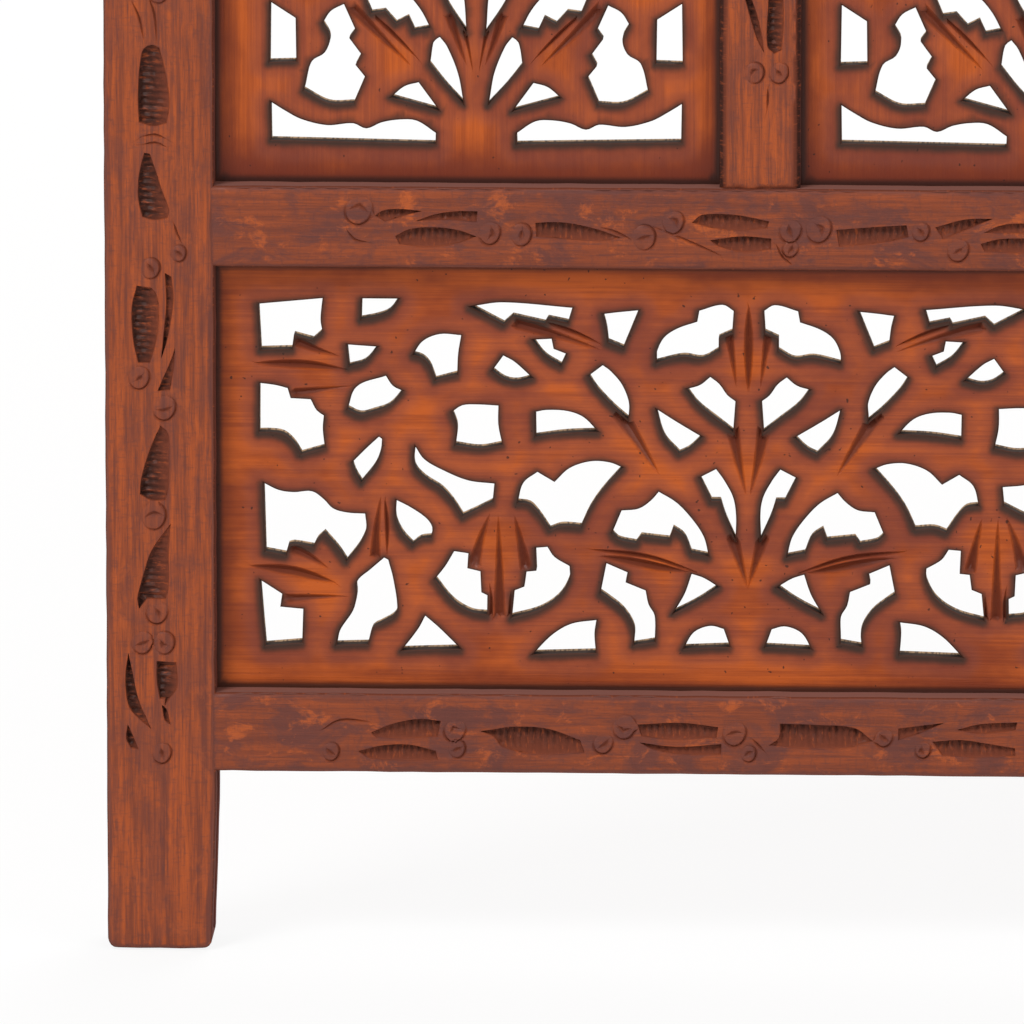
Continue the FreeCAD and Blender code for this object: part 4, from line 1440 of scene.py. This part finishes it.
def screw_mesh(name, side, share):
    """A countersunk screw with a slot across its head, on its leaf."""
    rim, (x, z) = screw_circle(side, share, SCREW_HEAD_RADIUS)
    head = Board(rim)
    head.round_rim(LEAF_EASE)
    turn = math.radians(SCREW_SLOT_TURN + SCREW_SLOT_SPREAD * share)
    slot = [(x + reach * math.cos(turn), z + reach * math.sin(turn)) for reach in SCREW_SLOT_POINTS]
    head.groove(slot, SCREW_SLOT, SCREW_SLOT)
    head.scatter(SCREW_FACETS)
    disc = head.mesh(name + "_head", LEAF_GAP - SCREW_PROUD, LEAF_THICKNESS, UPRIGHT, LEAF_EASE)
    profile = [(0, 0), (SCREW_RADIUS, 0), (SCREW_RADIUS, SCREW_LENGTH * SCREW_POINT_SHARE), (0, SCREW_LENGTH)]
    shank = lathe(name + "_shank", profile, SHANK_SIDES)
    lie = scaled_move(x, LEAF_GAP + LEAF_THICKNESS, z) @ Matrix.Rotation(math.radians(-90), 4, "X")
    return gather(name, [(disc, turned_to(side)), (shank, turned_to(side) @ lie)])


def pin_mesh(name):
    """A hinge pin with a domed head on its top knuckle."""
    dome = [(KNUCKLE_RADIUS * share, LEAF_HEIGHT + rise) for share, rise in PIN_DOME]
    return lathe(name, [(0, 0), (PIN_RADIUS, 0), (PIN_RADIUS, LEAF_HEIGHT), *dome])


# Grains: cells in a metre on each of the fibres' axes, detail, roughness, distortion and a move.
FRAME_STREAK = ((460, 460, 20), 5.0, 0.70, 0.5)
FRAME_FINE = ((1000, 1000, 34), 3.0, 0.68, 0.3)
FRAME_PORES = ((2200, 2200, 110), 2.0, 0.6)
FRAME_SMUDGE = ((90, 90, 50), 5.0, 0.68, 0.5)
FRAME_PATCH = ((110, 110, 70), 6.0, 0.72, 0.4, (7.3, 3.1, 1.7))
FRAME_HATCH = ((300, 300, 1100), 2.0, 0.6)
SIDE_STREAK = ((300, 300, 9), 4.0, 0.62)
SIDE_PORES = ((1500, 1500, 90), 2.0, 0.6)
LATTICE_GRAIN = ((330, 330, 8), 5.0, 0.66, 0.4)
LATTICE_FINE = ((1300, 1300, 26), 3.0, 0.6)
LATTICE_BROAD = ((55, 55, 9), 3.0, 0.5)
LATTICE_BLOTCH = ((34, 34, 20), 4.0, 0.6)
SAW_MARKS = ((1200, 90, 1200), 2.0, 0.6)
BRASS_SCRATCH = ((900, 900, 60), 2.0, 0.5)
# Noises: cells in a metre, detail and roughness.
LATTICE_CLOUD = (90.0, 3.0, 0.6)
LATTICE_SPECK = (620.0, 1.0, 0.4)
SAW_MOTTLE = (260.0, 3.0, 0.6)
BRASS_PATINA = (160.0, 4.0, 0.6)
STEEL_BLOOM = (420.0, 3.0, 0.6)
# Shares of amber streaks, smudges and worn patches, and the depth in millimetres at which the painted shade
# of the pocket floors is darkest.
STILE_SHARES = (0.9, 0.36, 0.22, 1.8)
RAIL_SHARES = (0.45, 0.75, 0.60, 2.8)
# Masks of the frame's finish: where they begin, where they are full, and the share that shows.
SMUDGE_BAND = (0.45, 0.60)
PATCH_BAND = (0.55, 0.66)
PORE_MASK = (0.55, 0.72, 0.6)
HATCH_MASK = (0.52, 0.72, 0.35)
WORN_RIM_MASK = (1.2, 3.2, 0.8)
# The painted highlight along the frame's rims.
RIM_HIGHLIGHT_MASK = (0.6, 1.5, 0.6)
STAIN_SHARE = 0.4
# The pockets' painted shade: the depth in millimetres where it begins, painted red and amber highlights on
# the floors' chisel ticks, and the band and share where it covers the face.
POCKET_SHADE_START = 0.3
TICK_RED_HIGHLIGHT_MASK = (0.48, 0.62, 0.4)
TICK_AMBER_HIGHLIGHT_MASK = (0.58, 0.72, 0.4)
POCKET_BAND = (0.15, 0.8)
POCKET_SHADE_SHARE = 0.95
# Masks of the narrow sides: a painted highlight on faces that look up, and painted shade in the leg's groove
# by its depth in millimetres.
UP_HIGHLIGHT_MASK = (0.3, 0.9, 0.6)
GROOVE_SHADE_BAND = (3.5, 5.0)
# Masks of the lattices by noise, and by distances to the rim and to the cut-outs in millimetres.
BLOTCH_MASK = (0.44, 0.64, 0.6)
RED_RIM_MASK = (8.0, 20.0, 0.75)
RED_FOOT_BAND = (0.008, 0.026)
RED_FOOT_SHARE = 0.9
DULL_MASK = (4.5, 10.0, 0.32)
RED_CUT_MASK = (3.0, 9.0, 0.5)
# The painted shadow along a lattice's rim, under the frame's edge.
RIM_SHADOW_MASK = (1.7, 3.9, 0.9)
HALO_BAND = (1.0, 3.4)
HALO_SHARE = 0.95
SPECK_MASK = (0.76, 0.79, 0.8)
VEIN_MASK = (0.05, 1.0, 0.8)
# The sawn walls: how far through the board their pale part begins and is full, and the saw's marks.
PALE_SHARES = (0.3, 0.85)
PALE_BAND = (0.50, 0.85)
SAW_MASK = (0.48, 0.60, 0.75)
# A level in metres that lies below every lattice.
NO_FOOT = -1.0


def fibre_axes(finish):
    """A wood's own axes, moved by a piece's colour so that no two pieces are alike."""
    fibre = finish.attribute("fibre", "Vector")
    chance = finish.node("ShaderNodeObjectInfo", {}, {}, "Color")
    return finish.node("ShaderNodeVectorMath", {"operation": "ADD"}, {0: fibre, 1: chance})


def frame_finish(name, colours, amber, smoke, worn, darkest):
    """Lacquered red-brown wood with painted shade in its pockets and a painted highlight along its rims;
    shares of amber streaks, smudges and worn patches; depth of the darkest painted shade.
    """
    finish = Finish(name)
    fibre = fibre_axes(finish)
    rim, sunk = finish.split(finish.attribute("work", "Vector"))[1:]
    streak = finish.grain(fibre, *FRAME_STREAK)
    fine = finish.grain(fibre, *FRAME_FINE)
    pores = finish.grain(fibre, *FRAME_PORES)
    smudge = finish.grain(fibre, *FRAME_SMUDGE)
    patch = finish.grain(fibre, *FRAME_PATCH)
    hatch = finish.grain(fibre, *FRAME_HATCH)
    tone = (streak * 0.6 + fine * 0.4).band(0.37, 0.63)
    pocket = sunk.band(*POCKET_BAND)
    # Painted shade on the pocket floors, darker with depth, with painted highlights on their chisel ticks.
    floor = finish.blend(sunk.band(POCKET_SHADE_START, darkest), colours.frame_red, colours.shade_and_fleck_dark)
    floor = finish.coats(floor, (hatch.mask(*TICK_RED_HIGHLIGHT_MASK), colours.frame_red),
                         (hatch.mask(*TICK_AMBER_HIGHLIGHT_MASK), colours.frame_amber))
    colour = finish.coats(
        colours.frame_red,
        (tone * amber, colours.frame_amber),
        (smudge.band(*SMUDGE_BAND) * smoke, colours.frame_smoke_and_shade),
        (patch.band(*PATCH_BAND) * worn, colours.frame_orange),
        (pores.mask(*PORE_MASK), colours.frame_smoke_and_shade),
        (hatch.mask(*HATCH_MASK), colours.frame_smoke_and_shade),
        ((rim + streak * 2.2).near(*WORN_RIM_MASK), colours.frame_smoke_and_shade),
        # A painted highlight along the rounded rims.
        ((rim + fine).near(*RIM_HIGHLIGHT_MASK), colours.frame_highlight),
        (finish.attribute("stain") * STAIN_SHARE, colours.frame_smoke_and_shade),
        (pocket * POCKET_SHADE_SHARE, floor))
    finish.bump(pores * 0.5 + streak * 0.35 + fine * 0.3 + hatch * 0.2, 0.6, 0.0006)
    return finish.surface(Base_Color=colour, Roughness=(0.38 + smudge * 0.2 + pocket * 0.5).clamp(),
                          Specular_IOR_Level=0.16, Coat_Weight=0.06, Coat_Roughness=0.25)


def stile_wood(colours):
    return frame_finish("stile_wood_lacquer", colours, *STILE_SHARES)


def rail_wood(colours):
    return frame_finish("rail_wood_lacquer", colours, *RAIL_SHARES)


def shaded_side_wood(colours):
    """The frame's narrow sides: the same wood painted darker as shade, with a painted highlight where they
    face up and painted shade deep in the leg's groove.
    """
    finish = Finish("shaded_side_wood")
    fibre = fibre_axes(finish)
    sunk = finish.split(finish.attribute("work", "Vector"))[2]
    streak = finish.grain(fibre, *SIDE_STREAK)
    pores = finish.grain(fibre, *SIDE_PORES)
    up = finish.split(finish.node("ShaderNodeNewGeometry", {}, {}, "Normal"))[2]
    tone = (streak * 0.7 + pores * 0.3).band(0.40, 0.62)
    # Painted shade: the sides are a darker copy of the face's wood, with a painted highlight where they face
    # up and painted shade in the leg's groove.
    colour = finish.coats(colours.frame_smoke_and_shade, (tone, colours.frame_red),
                          (up.mask(*UP_HIGHLIGHT_MASK), colours.frame_highlight),
                          (sunk.band(*GROOVE_SHADE_BAND), colours.shade_and_fleck_dark))
    finish.bump(streak * 0.6 + pores * 0.4, 0.5, 0.0005)
    return finish.surface(Base_Color=colour, Roughness=(0.7 + pores * 0.2).clamp(), Specular_IOR_Level=0.1)


def lattice_finish(name, colours, foot):
    """Amber wood, deep red towards its rim and below the foot's level, with a painted shadow along its rim
    under the frame, and scorched round every cut-out.
    """
    finish = Finish(name)
    fibre = fibre_axes(finish)
    level = finish.split(finish.attribute("fibre", "Vector"))[2]
    cut, rim, sunk = finish.split(finish.attribute("work", "Vector"))
    grain = finish.grain(fibre, *LATTICE_GRAIN)
    fine = finish.grain(fibre, *LATTICE_FINE)
    broad = finish.grain(fibre, *LATTICE_BROAD)
    cloud = finish.noise(fibre, *LATTICE_CLOUD)
    blotch = finish.grain(fibre, *LATTICE_BLOTCH)
    speck = finish.noise(fibre, *LATTICE_SPECK)
    tone = (grain * 0.5 + broad * 0.2 + fine * 0.3).band(0.40, 0.58)
    red_foot = (level + cloud * 0.012).near(*(foot + rise for rise in RED_FOOT_BAND), RED_FOOT_SHARE)
    halo = 1 - (cut + cloud * 1.4).band(*HALO_BAND)
    colour = finish.coats(
        finish.blend(0.5, colours.board_amber, colours.board_red),
        (tone, colours.board_amber),
        (blotch.mask(*BLOTCH_MASK), colours.board_red),
        ((rim + broad * 14 + cloud * 8).near(*RED_RIM_MASK), colours.board_red),
        (red_foot, colours.board_red),
        ((cut + cloud * 4.0).near(*DULL_MASK), colours.board_dull),
        ((cut + cloud * 5.0).near(*RED_CUT_MASK), colours.board_red),
        # A painted shadow along the rim, where the frame stands proud of the lattice.
        (rim.near(*RIM_SHADOW_MASK), colours.shade_and_fleck_dark),
        (halo * HALO_SHARE, colours.scorch),
        (speck.mask(*SPECK_MASK), colours.shade_and_fleck_dark),
        (sunk.mask(*VEIN_MASK), finish.blend(0.4, colours.board_red, colours.scorch)))
    finish.bump(grain * 0.5 + fine * 0.4, 0.5, 0.0006)
    return finish.surface(Base_Color=colour, Roughness=(0.32 + cloud * 0.16 + halo * 0.2).clamp(),
                          Specular_IOR_Level=0.16, Coat_Weight=0.08, Coat_Roughness=0.2)


def lattice_wood(colours):
    return lattice_finish("lattice_wood_lacquer", colours, NO_FOOT)


def tall_lattice_wood(colours):
    return lattice_finish("tall_lattice_wood_lacquer", colours, RAIL_LEVELS["middle_rail"][1] * MM)


def sawn_wood(colours):
    """The walls of the cut-outs: dark, mottled, with pale flecks and the saw's marks across them."""
    finish = Finish("sawn_wood")
    fibre = finish.attribute("fibre", "Vector")
    through = finish.split(fibre)[1]
    marks = finish.grain(fibre, *SAW_MARKS)
    mottle = finish.noise(fibre, *SAW_MOTTLE)
    back = through.band(*((LATTICE_FRONT + LATTICE_THICKNESS * share) * MM for share in PALE_SHARES))
    colour = finish.coats(colours.scorch, ((mottle * 0.5 + back * 0.7).band(*PALE_BAND), colours.saw_cut),
                          (marks.mask(*SAW_MASK), colours.scorch))
    finish.bump(marks, 0.5, 0.0004)
    return finish.surface(Base_Color=colour, Roughness=(0.7 + mottle * 0.2).clamp(), Specular_IOR_Level=0.05)


def aged_brass(colours):
    """Brass gone brown in the hollows."""
    finish = Finish("aged_brass")
    place = finish.object_place()
    patina = finish.noise(place, *BRASS_PATINA)
    tarnish = finish.blend(0.6, colours.brass, colours.frame_smoke_and_shade)
    colour = finish.blend(patina.band(0.45, 0.72), colours.brass, tarnish)
    finish.bump(finish.grain(place, *BRASS_SCRATCH), 0.15, 0.0002)
    return finish.surface(Base_Color=colour, Metallic=1.0, Roughness=(0.26 + patina * 0.3).clamp())


def dull_steel(colours):
    """Grey steel of the screws, with a brown bloom."""
    finish = Finish("dull_steel")
    bloom = finish.noise(finish.object_place(), *STEEL_BLOOM)
    colour = finish.blend(bloom.band(0.5, 0.75), colours.steel, colours.steel_brown)
    finish.bump(bloom, 0.1, 0.0002)
    return finish.surface(Base_Color=colour, Metallic=1.0, Roughness=(0.32 + bloom * 0.3).clamp())


FINISHES = {"stile_wood": stile_wood, "rail_wood": rail_wood, "shaded_side_wood": shaded_side_wood,
            "lattice_wood": lattice_wood, "tall_lattice_wood": tall_lattice_wood,
            "sawn_wood": sawn_wood, "hinge_brass": aged_brass, "screw_steel": dull_steel}
MADE = {}
STILE_FINISHES = ("stile_wood", "shaded_side_wood")
RAIL_FINISHES = ("rail_wood", "shaded_side_wood")
LATTICE_FINISHES = ("lattice_wood", "sawn_wood")
TALL_FINISHES = ("tall_lattice_wood", "sawn_wood")
FRAME_BACK_EASE = 1.0
LATTICE_BACK_EASE = 0.5
MULLION_SETBACK = 0.7


def finish_of(context, name):
    """A finish by name, made the first time that it is asked for."""
    if name not in MADE:
        MADE[name] = FINISHES[name](context.scene.screen_colours)
    return MADE[name]


def set_piece(context, name, mesh, place, body, node):
    """One object of a mesh that rides on a body in place of a node."""
    piece = bpy.data.objects.new(name, mesh)
    context.scene.collection.objects.link(piece)
    piece.matrix_world = place
    chance = random.Random(name)
    piece.color = [chance.random() for channel in range(4)]
    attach(piece, body)
    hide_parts(node)


def set_in_panels(context, mesh, part, finishes, move=(0.0, 0.0, 0.0)):
    """A mesh in every panel, in place of the panel's part."""
    if not mesh.materials:
        for name in finishes:
            mesh.materials.append(finish_of(context, name))
    for panel in PANELS:
        place = panel_place(panel) @ scaled_move(*move)
        set_piece(context, f"{panel}_{part}_carved", mesh, place, panel, f"{panel}_{part}")


class SCREEN_OT_stiles(bpy.types.Operator):
    """Carve the stiles, whose lower ends are the legs"""

    bl_idname = "screen.stiles"
    bl_label = "Stiles"

    def execute(self, context):
        across = 2 * HALF_WIDTH - STILE_WIDTH
        for name, side, move in (("left_stile", 1, 0.0), ("right_stile", -1, across)):
            board = stile_board(context.scene.screen_sizes, side)
            mesh = board.mesh(name, FRONT, THICKNESS, UPRIGHT, FRAME_BACK_EASE, leg_slot(side))
            set_in_panels(context, mesh, name, STILE_FINISHES, (move, 0, 0))
        return {"FINISHED"}


class SCREEN_OT_rails(bpy.types.Operator):
    """Carve the bottom, middle and upper rails"""

    bl_idname = "screen.rails"
    bl_label = "Rails"

    def execute(self, context):
        sizes = context.scene.screen_sizes
        bottom = rail_board("bottom_rail", BOTTOM_RAIL_CARVING, BOTTOM_RAIL_SEEDS, sizes)
        mesh = bottom.mesh("bottom_rail", FRONT, THICKNESS, LEVEL, FRAME_BACK_EASE)
        set_in_panels(context, mesh, "bottom_rail", RAIL_FINISHES)
        middle = rail_board("middle_rail", MIDDLE_RAIL_CARVING, MIDDLE_RAIL_SEEDS, sizes)
        mesh = middle.mesh("middle_rail", FRONT, THICKNESS, LEVEL, FRAME_BACK_EASE)
        rise = RAIL_LEVELS["upper_rail"][0] - RAIL_LEVELS["middle_rail"][0]
        set_in_panels(context, mesh, "middle_rail", RAIL_FINISHES)
        set_in_panels(context, mesh, "upper_rail", RAIL_FINISHES, (0, 0, rise))
        return {"FINISHED"}


class SCREEN_OT_crests(bpy.types.Operator):
    """Carve the arched crest rails"""

    bl_idname = "screen.crests"
    bl_label = "Crest rails"

    def execute(self, context):
        board = crest_board(context.scene.screen_sizes)
        mesh = board.mesh("crest", FRONT, THICKNESS, LEVEL, FRAME_BACK_EASE)
        set_in_panels(context, mesh, "crest_rail", RAIL_FINISHES)
        return {"FINISHED"}


class SCREEN_OT_mullions(bpy.types.Operator):
    """Carve the mullions between the tall lattices"""

    bl_idname = "screen.mullions"
    bl_label = "Mullions"

    def execute(self, context):
        board = mullion_board(context.scene.screen_sizes)
        mesh = board.mesh("mullion", FRONT + MULLION_SETBACK, THICKNESS - 2 * MULLION_SETBACK, UPRIGHT,
                          FRAME_BACK_EASE)
        set_in_panels(context, mesh, "mullion", STILE_FINISHES)
        return {"FINISHED"}


class SCREEN_OT_bottom_lattices(bpy.types.Operator):
    """Saw and vein the wide lattices between the two lower rails"""

    bl_idname = "screen.bottom_lattices"
    bl_label = "Bottom lattices"

    def execute(self, context):
        board = bottom_lattice_board(context.scene.screen_sizes)
        mesh = board.mesh("bottom_lattice", LATTICE_FRONT, LATTICE_THICKNESS, LEVEL, LATTICE_BACK_EASE)
        set_in_panels(context, mesh, "bottom_lattice", LATTICE_FINISHES)
        return {"FINISHED"}


class SCREEN_OT_tall_lattices(bpy.types.Operator):
    """Saw and vein the tall lattices either side of the mullion"""

    bl_idname = "screen.tall_lattices"
    bl_label = "Tall lattices"

    def execute(self, context):
        sizes = context.scene.screen_sizes
        boards = {"left": tall_lattice_board(sizes, -HALF_OPENING, MULLION_LEFT, STEM_PIXEL),
                  "right": tall_lattice_board(sizes, MULLION_RIGHT, HALF_OPENING, RIGHT_STEM_PIXEL)}
        for side, board in boards.items():
            mesh = board.mesh(f"{side}_tall_lattice", LATTICE_FRONT, LATTICE_THICKNESS, UPRIGHT,
                              LATTICE_BACK_EASE)
            set_in_panels(context, mesh, f"{side}_tall_lattice", TALL_FINISHES)
        return {"FINISHED"}


class SCREEN_OT_top_lattices(bpy.types.Operator):
    """Saw and vein the arched lattices under the crest rails"""

    bl_idname = "screen.top_lattices"
    bl_label = "Top lattices"

    def execute(self, context):
        board = top_lattice_board(context.scene.screen_sizes)
        mesh = board.mesh("top_lattice", LATTICE_FRONT, LATTICE_THICKNESS, LEVEL, LATTICE_BACK_EASE)
        set_in_panels(context, mesh, "top_lattice", LATTICE_FINISHES)
        return {"FINISHED"}


class SCREEN_OT_hinges(bpy.types.Operator):
    """Make the butt hinges of both folds: leaves, pins and slotted screws"""

    bl_idname = "screen.hinges"
    bl_label = "Hinges"

    def execute(self, context):
        levels = [scaled_move(0, 0, bottom) for bottom in hinge_bottoms()]
        outer = leaf_mesh("outer_leaf", -1, OUTER_KNUCKLES)
        inner = leaf_mesh("inner_leaf", 1, INNER_KNUCKLES)
        pin = pin_mesh("hinge_pin")
        meshes = {"outer_leaves": [outer], "inner_leaves": [inner], "pins": [pin]}
        for kind, side in (("outer_screws", -1), ("inner_screws", 1)):
            meshes[kind] = [screw_mesh("hinge_screw", side, share) for share in SCREW_HEIGHT_SHARES]
        for half_turn, (fold, outer_panel) in enumerate(FOLDS.items()):
            low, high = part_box(f"{fold}_fold_pins")
            pin_line = Matrix.Translation(((low[0] + high[0]) / 2, (low[1] + high[1]) / 2, 0))
            for kind, singles in meshes.items():
                panel = "middle_panel" if kind.startswith("inner") else outer_panel
                slot = "screw_steel" if kind.endswith("screws") else "hinge_brass"
                mesh = gather(f"{fold}_{kind}", [(single, level) for single in singles for level in levels])
                mesh.materials.append(finish_of(context, slot))
                turn = panel_place(panel).to_3x3().to_4x4() @ Matrix.Rotation(math.pi * half_turn, 4, "Z")
                set_piece(context, f"{fold}_fold_{kind}_made", mesh, pin_line @ turn, panel,
                          f"{fold}_fold_{kind}")
        return {"FINISHED"}


FLOOR_HALF = 6.0
FLOOR_DROP = 0.0005
FLOOR_COLOUR = (0.9, 0.9, 0.9)
FLOOR_ROUGHNESS = 0.9
# How much of the floor that the camera sees is plain white, the rest keeping the shadow, and the
# distances from the middle between which it grows to all white.
FLOOR_WHITE = 0.86
FLOOR_FADE = (1.0, 4.0)
WHITE = (1.0, 1.0, 1.0)
SKY_COLOUR = (1.0, 0.98, 0.96)
SKY_STRENGTH = 0.55
LAMP_AIM = (-0.35, -0.1, 0.5)
# Name, place, size across and power of each lamp.
LAMPS = (
    ("key", (-2.2, -2.6, 3.2), 1.6, 95.0),
    ("fill", (2.4, -3.0, 1.4), 2.2, 40.0),
    ("back", (0.6, 3.2, 2.6), 2.4, 70.0),
)
# The middle of the photograph, which the camera looks at.
PICTURE_PIXEL = (512, 512)


def white_to_eye(graph, surface, white_kind, end_kind, share):
    """White where the camera, a mirror or glass looks, and the given surface for all other light."""
    eye = graph.node("ShaderNodeLightPath", {}, {}, "Is Camera Ray")
    rays = eye.socket.node.outputs
    for way in ("Is Glossy Ray", "Is Transmission Ray"):
        eye = eye.most(Wire(graph, rays[way]))
    white = graph.node(white_kind, {}, {"Color": WHITE, "Strength": 1.0})
    mix = graph.node("ShaderNodeMixShader", {}, {0: eye * share, 1: Wire(graph, surface), 2: white})
    end = next(node for node in graph.tree.nodes if node.bl_idname == end_kind)
    graph.feed(end.inputs["Surface"], mix)


class SCREEN_OT_stage(bpy.types.Operator):
    """Set the pale floor, the studio lights and the camera"""

    bl_idname = "screen.stage"
    bl_label = "Stage"

    def execute(self, context):
        scene = context.scene
        scene.view_settings.view_transform = "Standard"
        self.set_floor(context)
        self.set_world(scene)
        for name, place, size, power in LAMPS:
            self.set_lamp(context, name, place, size, power)
        self.set_camera(context)
        return {"FINISHED"}

    def set_floor(self, context):
        form = bmesh.new()
        bmesh.ops.create_grid(form, x_segments=1, y_segments=1, size=FLOOR_HALF)
        mesh = bpy.data.meshes.new("floor")
        form.to_mesh(mesh)
        form.free()
        floor = bpy.data.objects.new("floor", mesh)
        context.scene.collection.objects.link(floor)
        floor.location.z = CAD_BOX[0][2] - FLOOR_DROP
        finish = Finish("pale_floor")
        mesh.materials.append(finish.surface(Base_Color=FLOOR_COLOUR, Roughness=FLOOR_ROUGHNESS))
        place = finish.object_place()
        far = finish.node("ShaderNodeVectorMath", {"operation": "LENGTH"}, {0: place}, "Value")
        share = FLOOR_WHITE + (1 - FLOOR_WHITE) * far.band(*FLOOR_FADE)
        white_to_eye(finish, finish.shader.outputs[0], "ShaderNodeEmission", "ShaderNodeOutputMaterial",
                     share)

    def set_world(self, scene):
        world = bpy.data.worlds.new("studio")
        world.use_nodes = True
        scene.world = world
        graph = Graph(world.node_tree)
        sky = world.node_tree.nodes["Background"]
        graph.feed(sky.inputs["Color"], SKY_COLOUR)
        graph.feed(sky.inputs["Strength"], SKY_STRENGTH)
        white_to_eye(graph, sky.outputs[0], "ShaderNodeBackground", "ShaderNodeOutputWorld", 1.0)

    def set_lamp(self, context, name, place, size, power):
        light = bpy.data.lights.new(name, "AREA")
        light.shape = "DISK"
        light.size = size
        light.energy = power
        lamp = bpy.data.objects.new(name, light)
        context.scene.collection.objects.link(lamp)
        lamp.location = Vector(place)
        lamp.rotation_euler = (Vector(LAMP_AIM) - Vector(place)).to_track_quat("-Z", "Y").to_euler()

    def set_camera(self, context):
        view = context.scene.screen_view
        across, up = face_point(PICTURE_PIXEL)
        aim = panel_place("left_panel") @ (Vector((across, FRONT, up)) * MM)
        turn, lift = view.azimuth, view.elevation
        back = Vector((math.sin(turn) * math.cos(lift), -math.cos(turn) * math.cos(lift), math.sin(lift)))
        lens = bpy.data.cameras.new("camera")
        lens.lens = lens.sensor_width * view.distance / view.frame_width
        camera = bpy.data.objects.new("camera", lens)
        context.scene.collection.objects.link(camera)
        camera.location = aim + back * view.distance
        camera.rotation_euler = (-back).to_track_quat("-Z", "Y").to_euler()
        context.scene.camera = camera


OPERATORS = (SCREEN_OT_stiles, SCREEN_OT_rails, SCREEN_OT_crests, SCREEN_OT_mullions,
             SCREEN_OT_bottom_lattices, SCREEN_OT_tall_lattices, SCREEN_OT_top_lattices, SCREEN_OT_hinges,
             SCREEN_OT_stage)


class SCREEN_PT_sidebar(bpy.types.Panel):
    """Sizes, colours and steps of the screen"""

    bl_idname = "SCREEN_PT_sidebar"
    bl_label = "Carved Folding Screen"
    bl_space_type = "VIEW_3D"
    bl_region_type = "UI"
    bl_category = "Screen"

    def draw(self, context):
        for group in (context.scene.screen_sizes, context.scene.screen_colours, context.scene.screen_view):
            box = self.layout.box()
            for name in group.__annotations__:
                box.prop(group, name)
        for operator in OPERATORS:
            self.layout.operator(operator.bl_idname)


CLASSES = (ScreenSizes, WoodColours, ViewSettings, *OPERATORS, SCREEN_PT_sidebar)


def register():
    for kind in CLASSES:
        bpy.utils.register_class(kind)
    bpy.types.Scene.screen_sizes = PointerProperty(type=ScreenSizes)
    bpy.types.Scene.screen_colours = PointerProperty(type=WoodColours)
    bpy.types.Scene.screen_view = PointerProperty(type=ViewSettings)


def unregister():
    del bpy.types.Scene.screen_view
    del bpy.types.Scene.screen_colours
    del bpy.types.Scene.screen_sizes
    for kind in reversed(CLASSES):
        bpy.utils.unregister_class(kind)


def main():
    register()
    for operator in OPERATORS:
        group, name = operator.bl_idname.split(".")
        getattr(getattr(bpy.ops, group), name)()


if __name__ == "__main__":
    main()
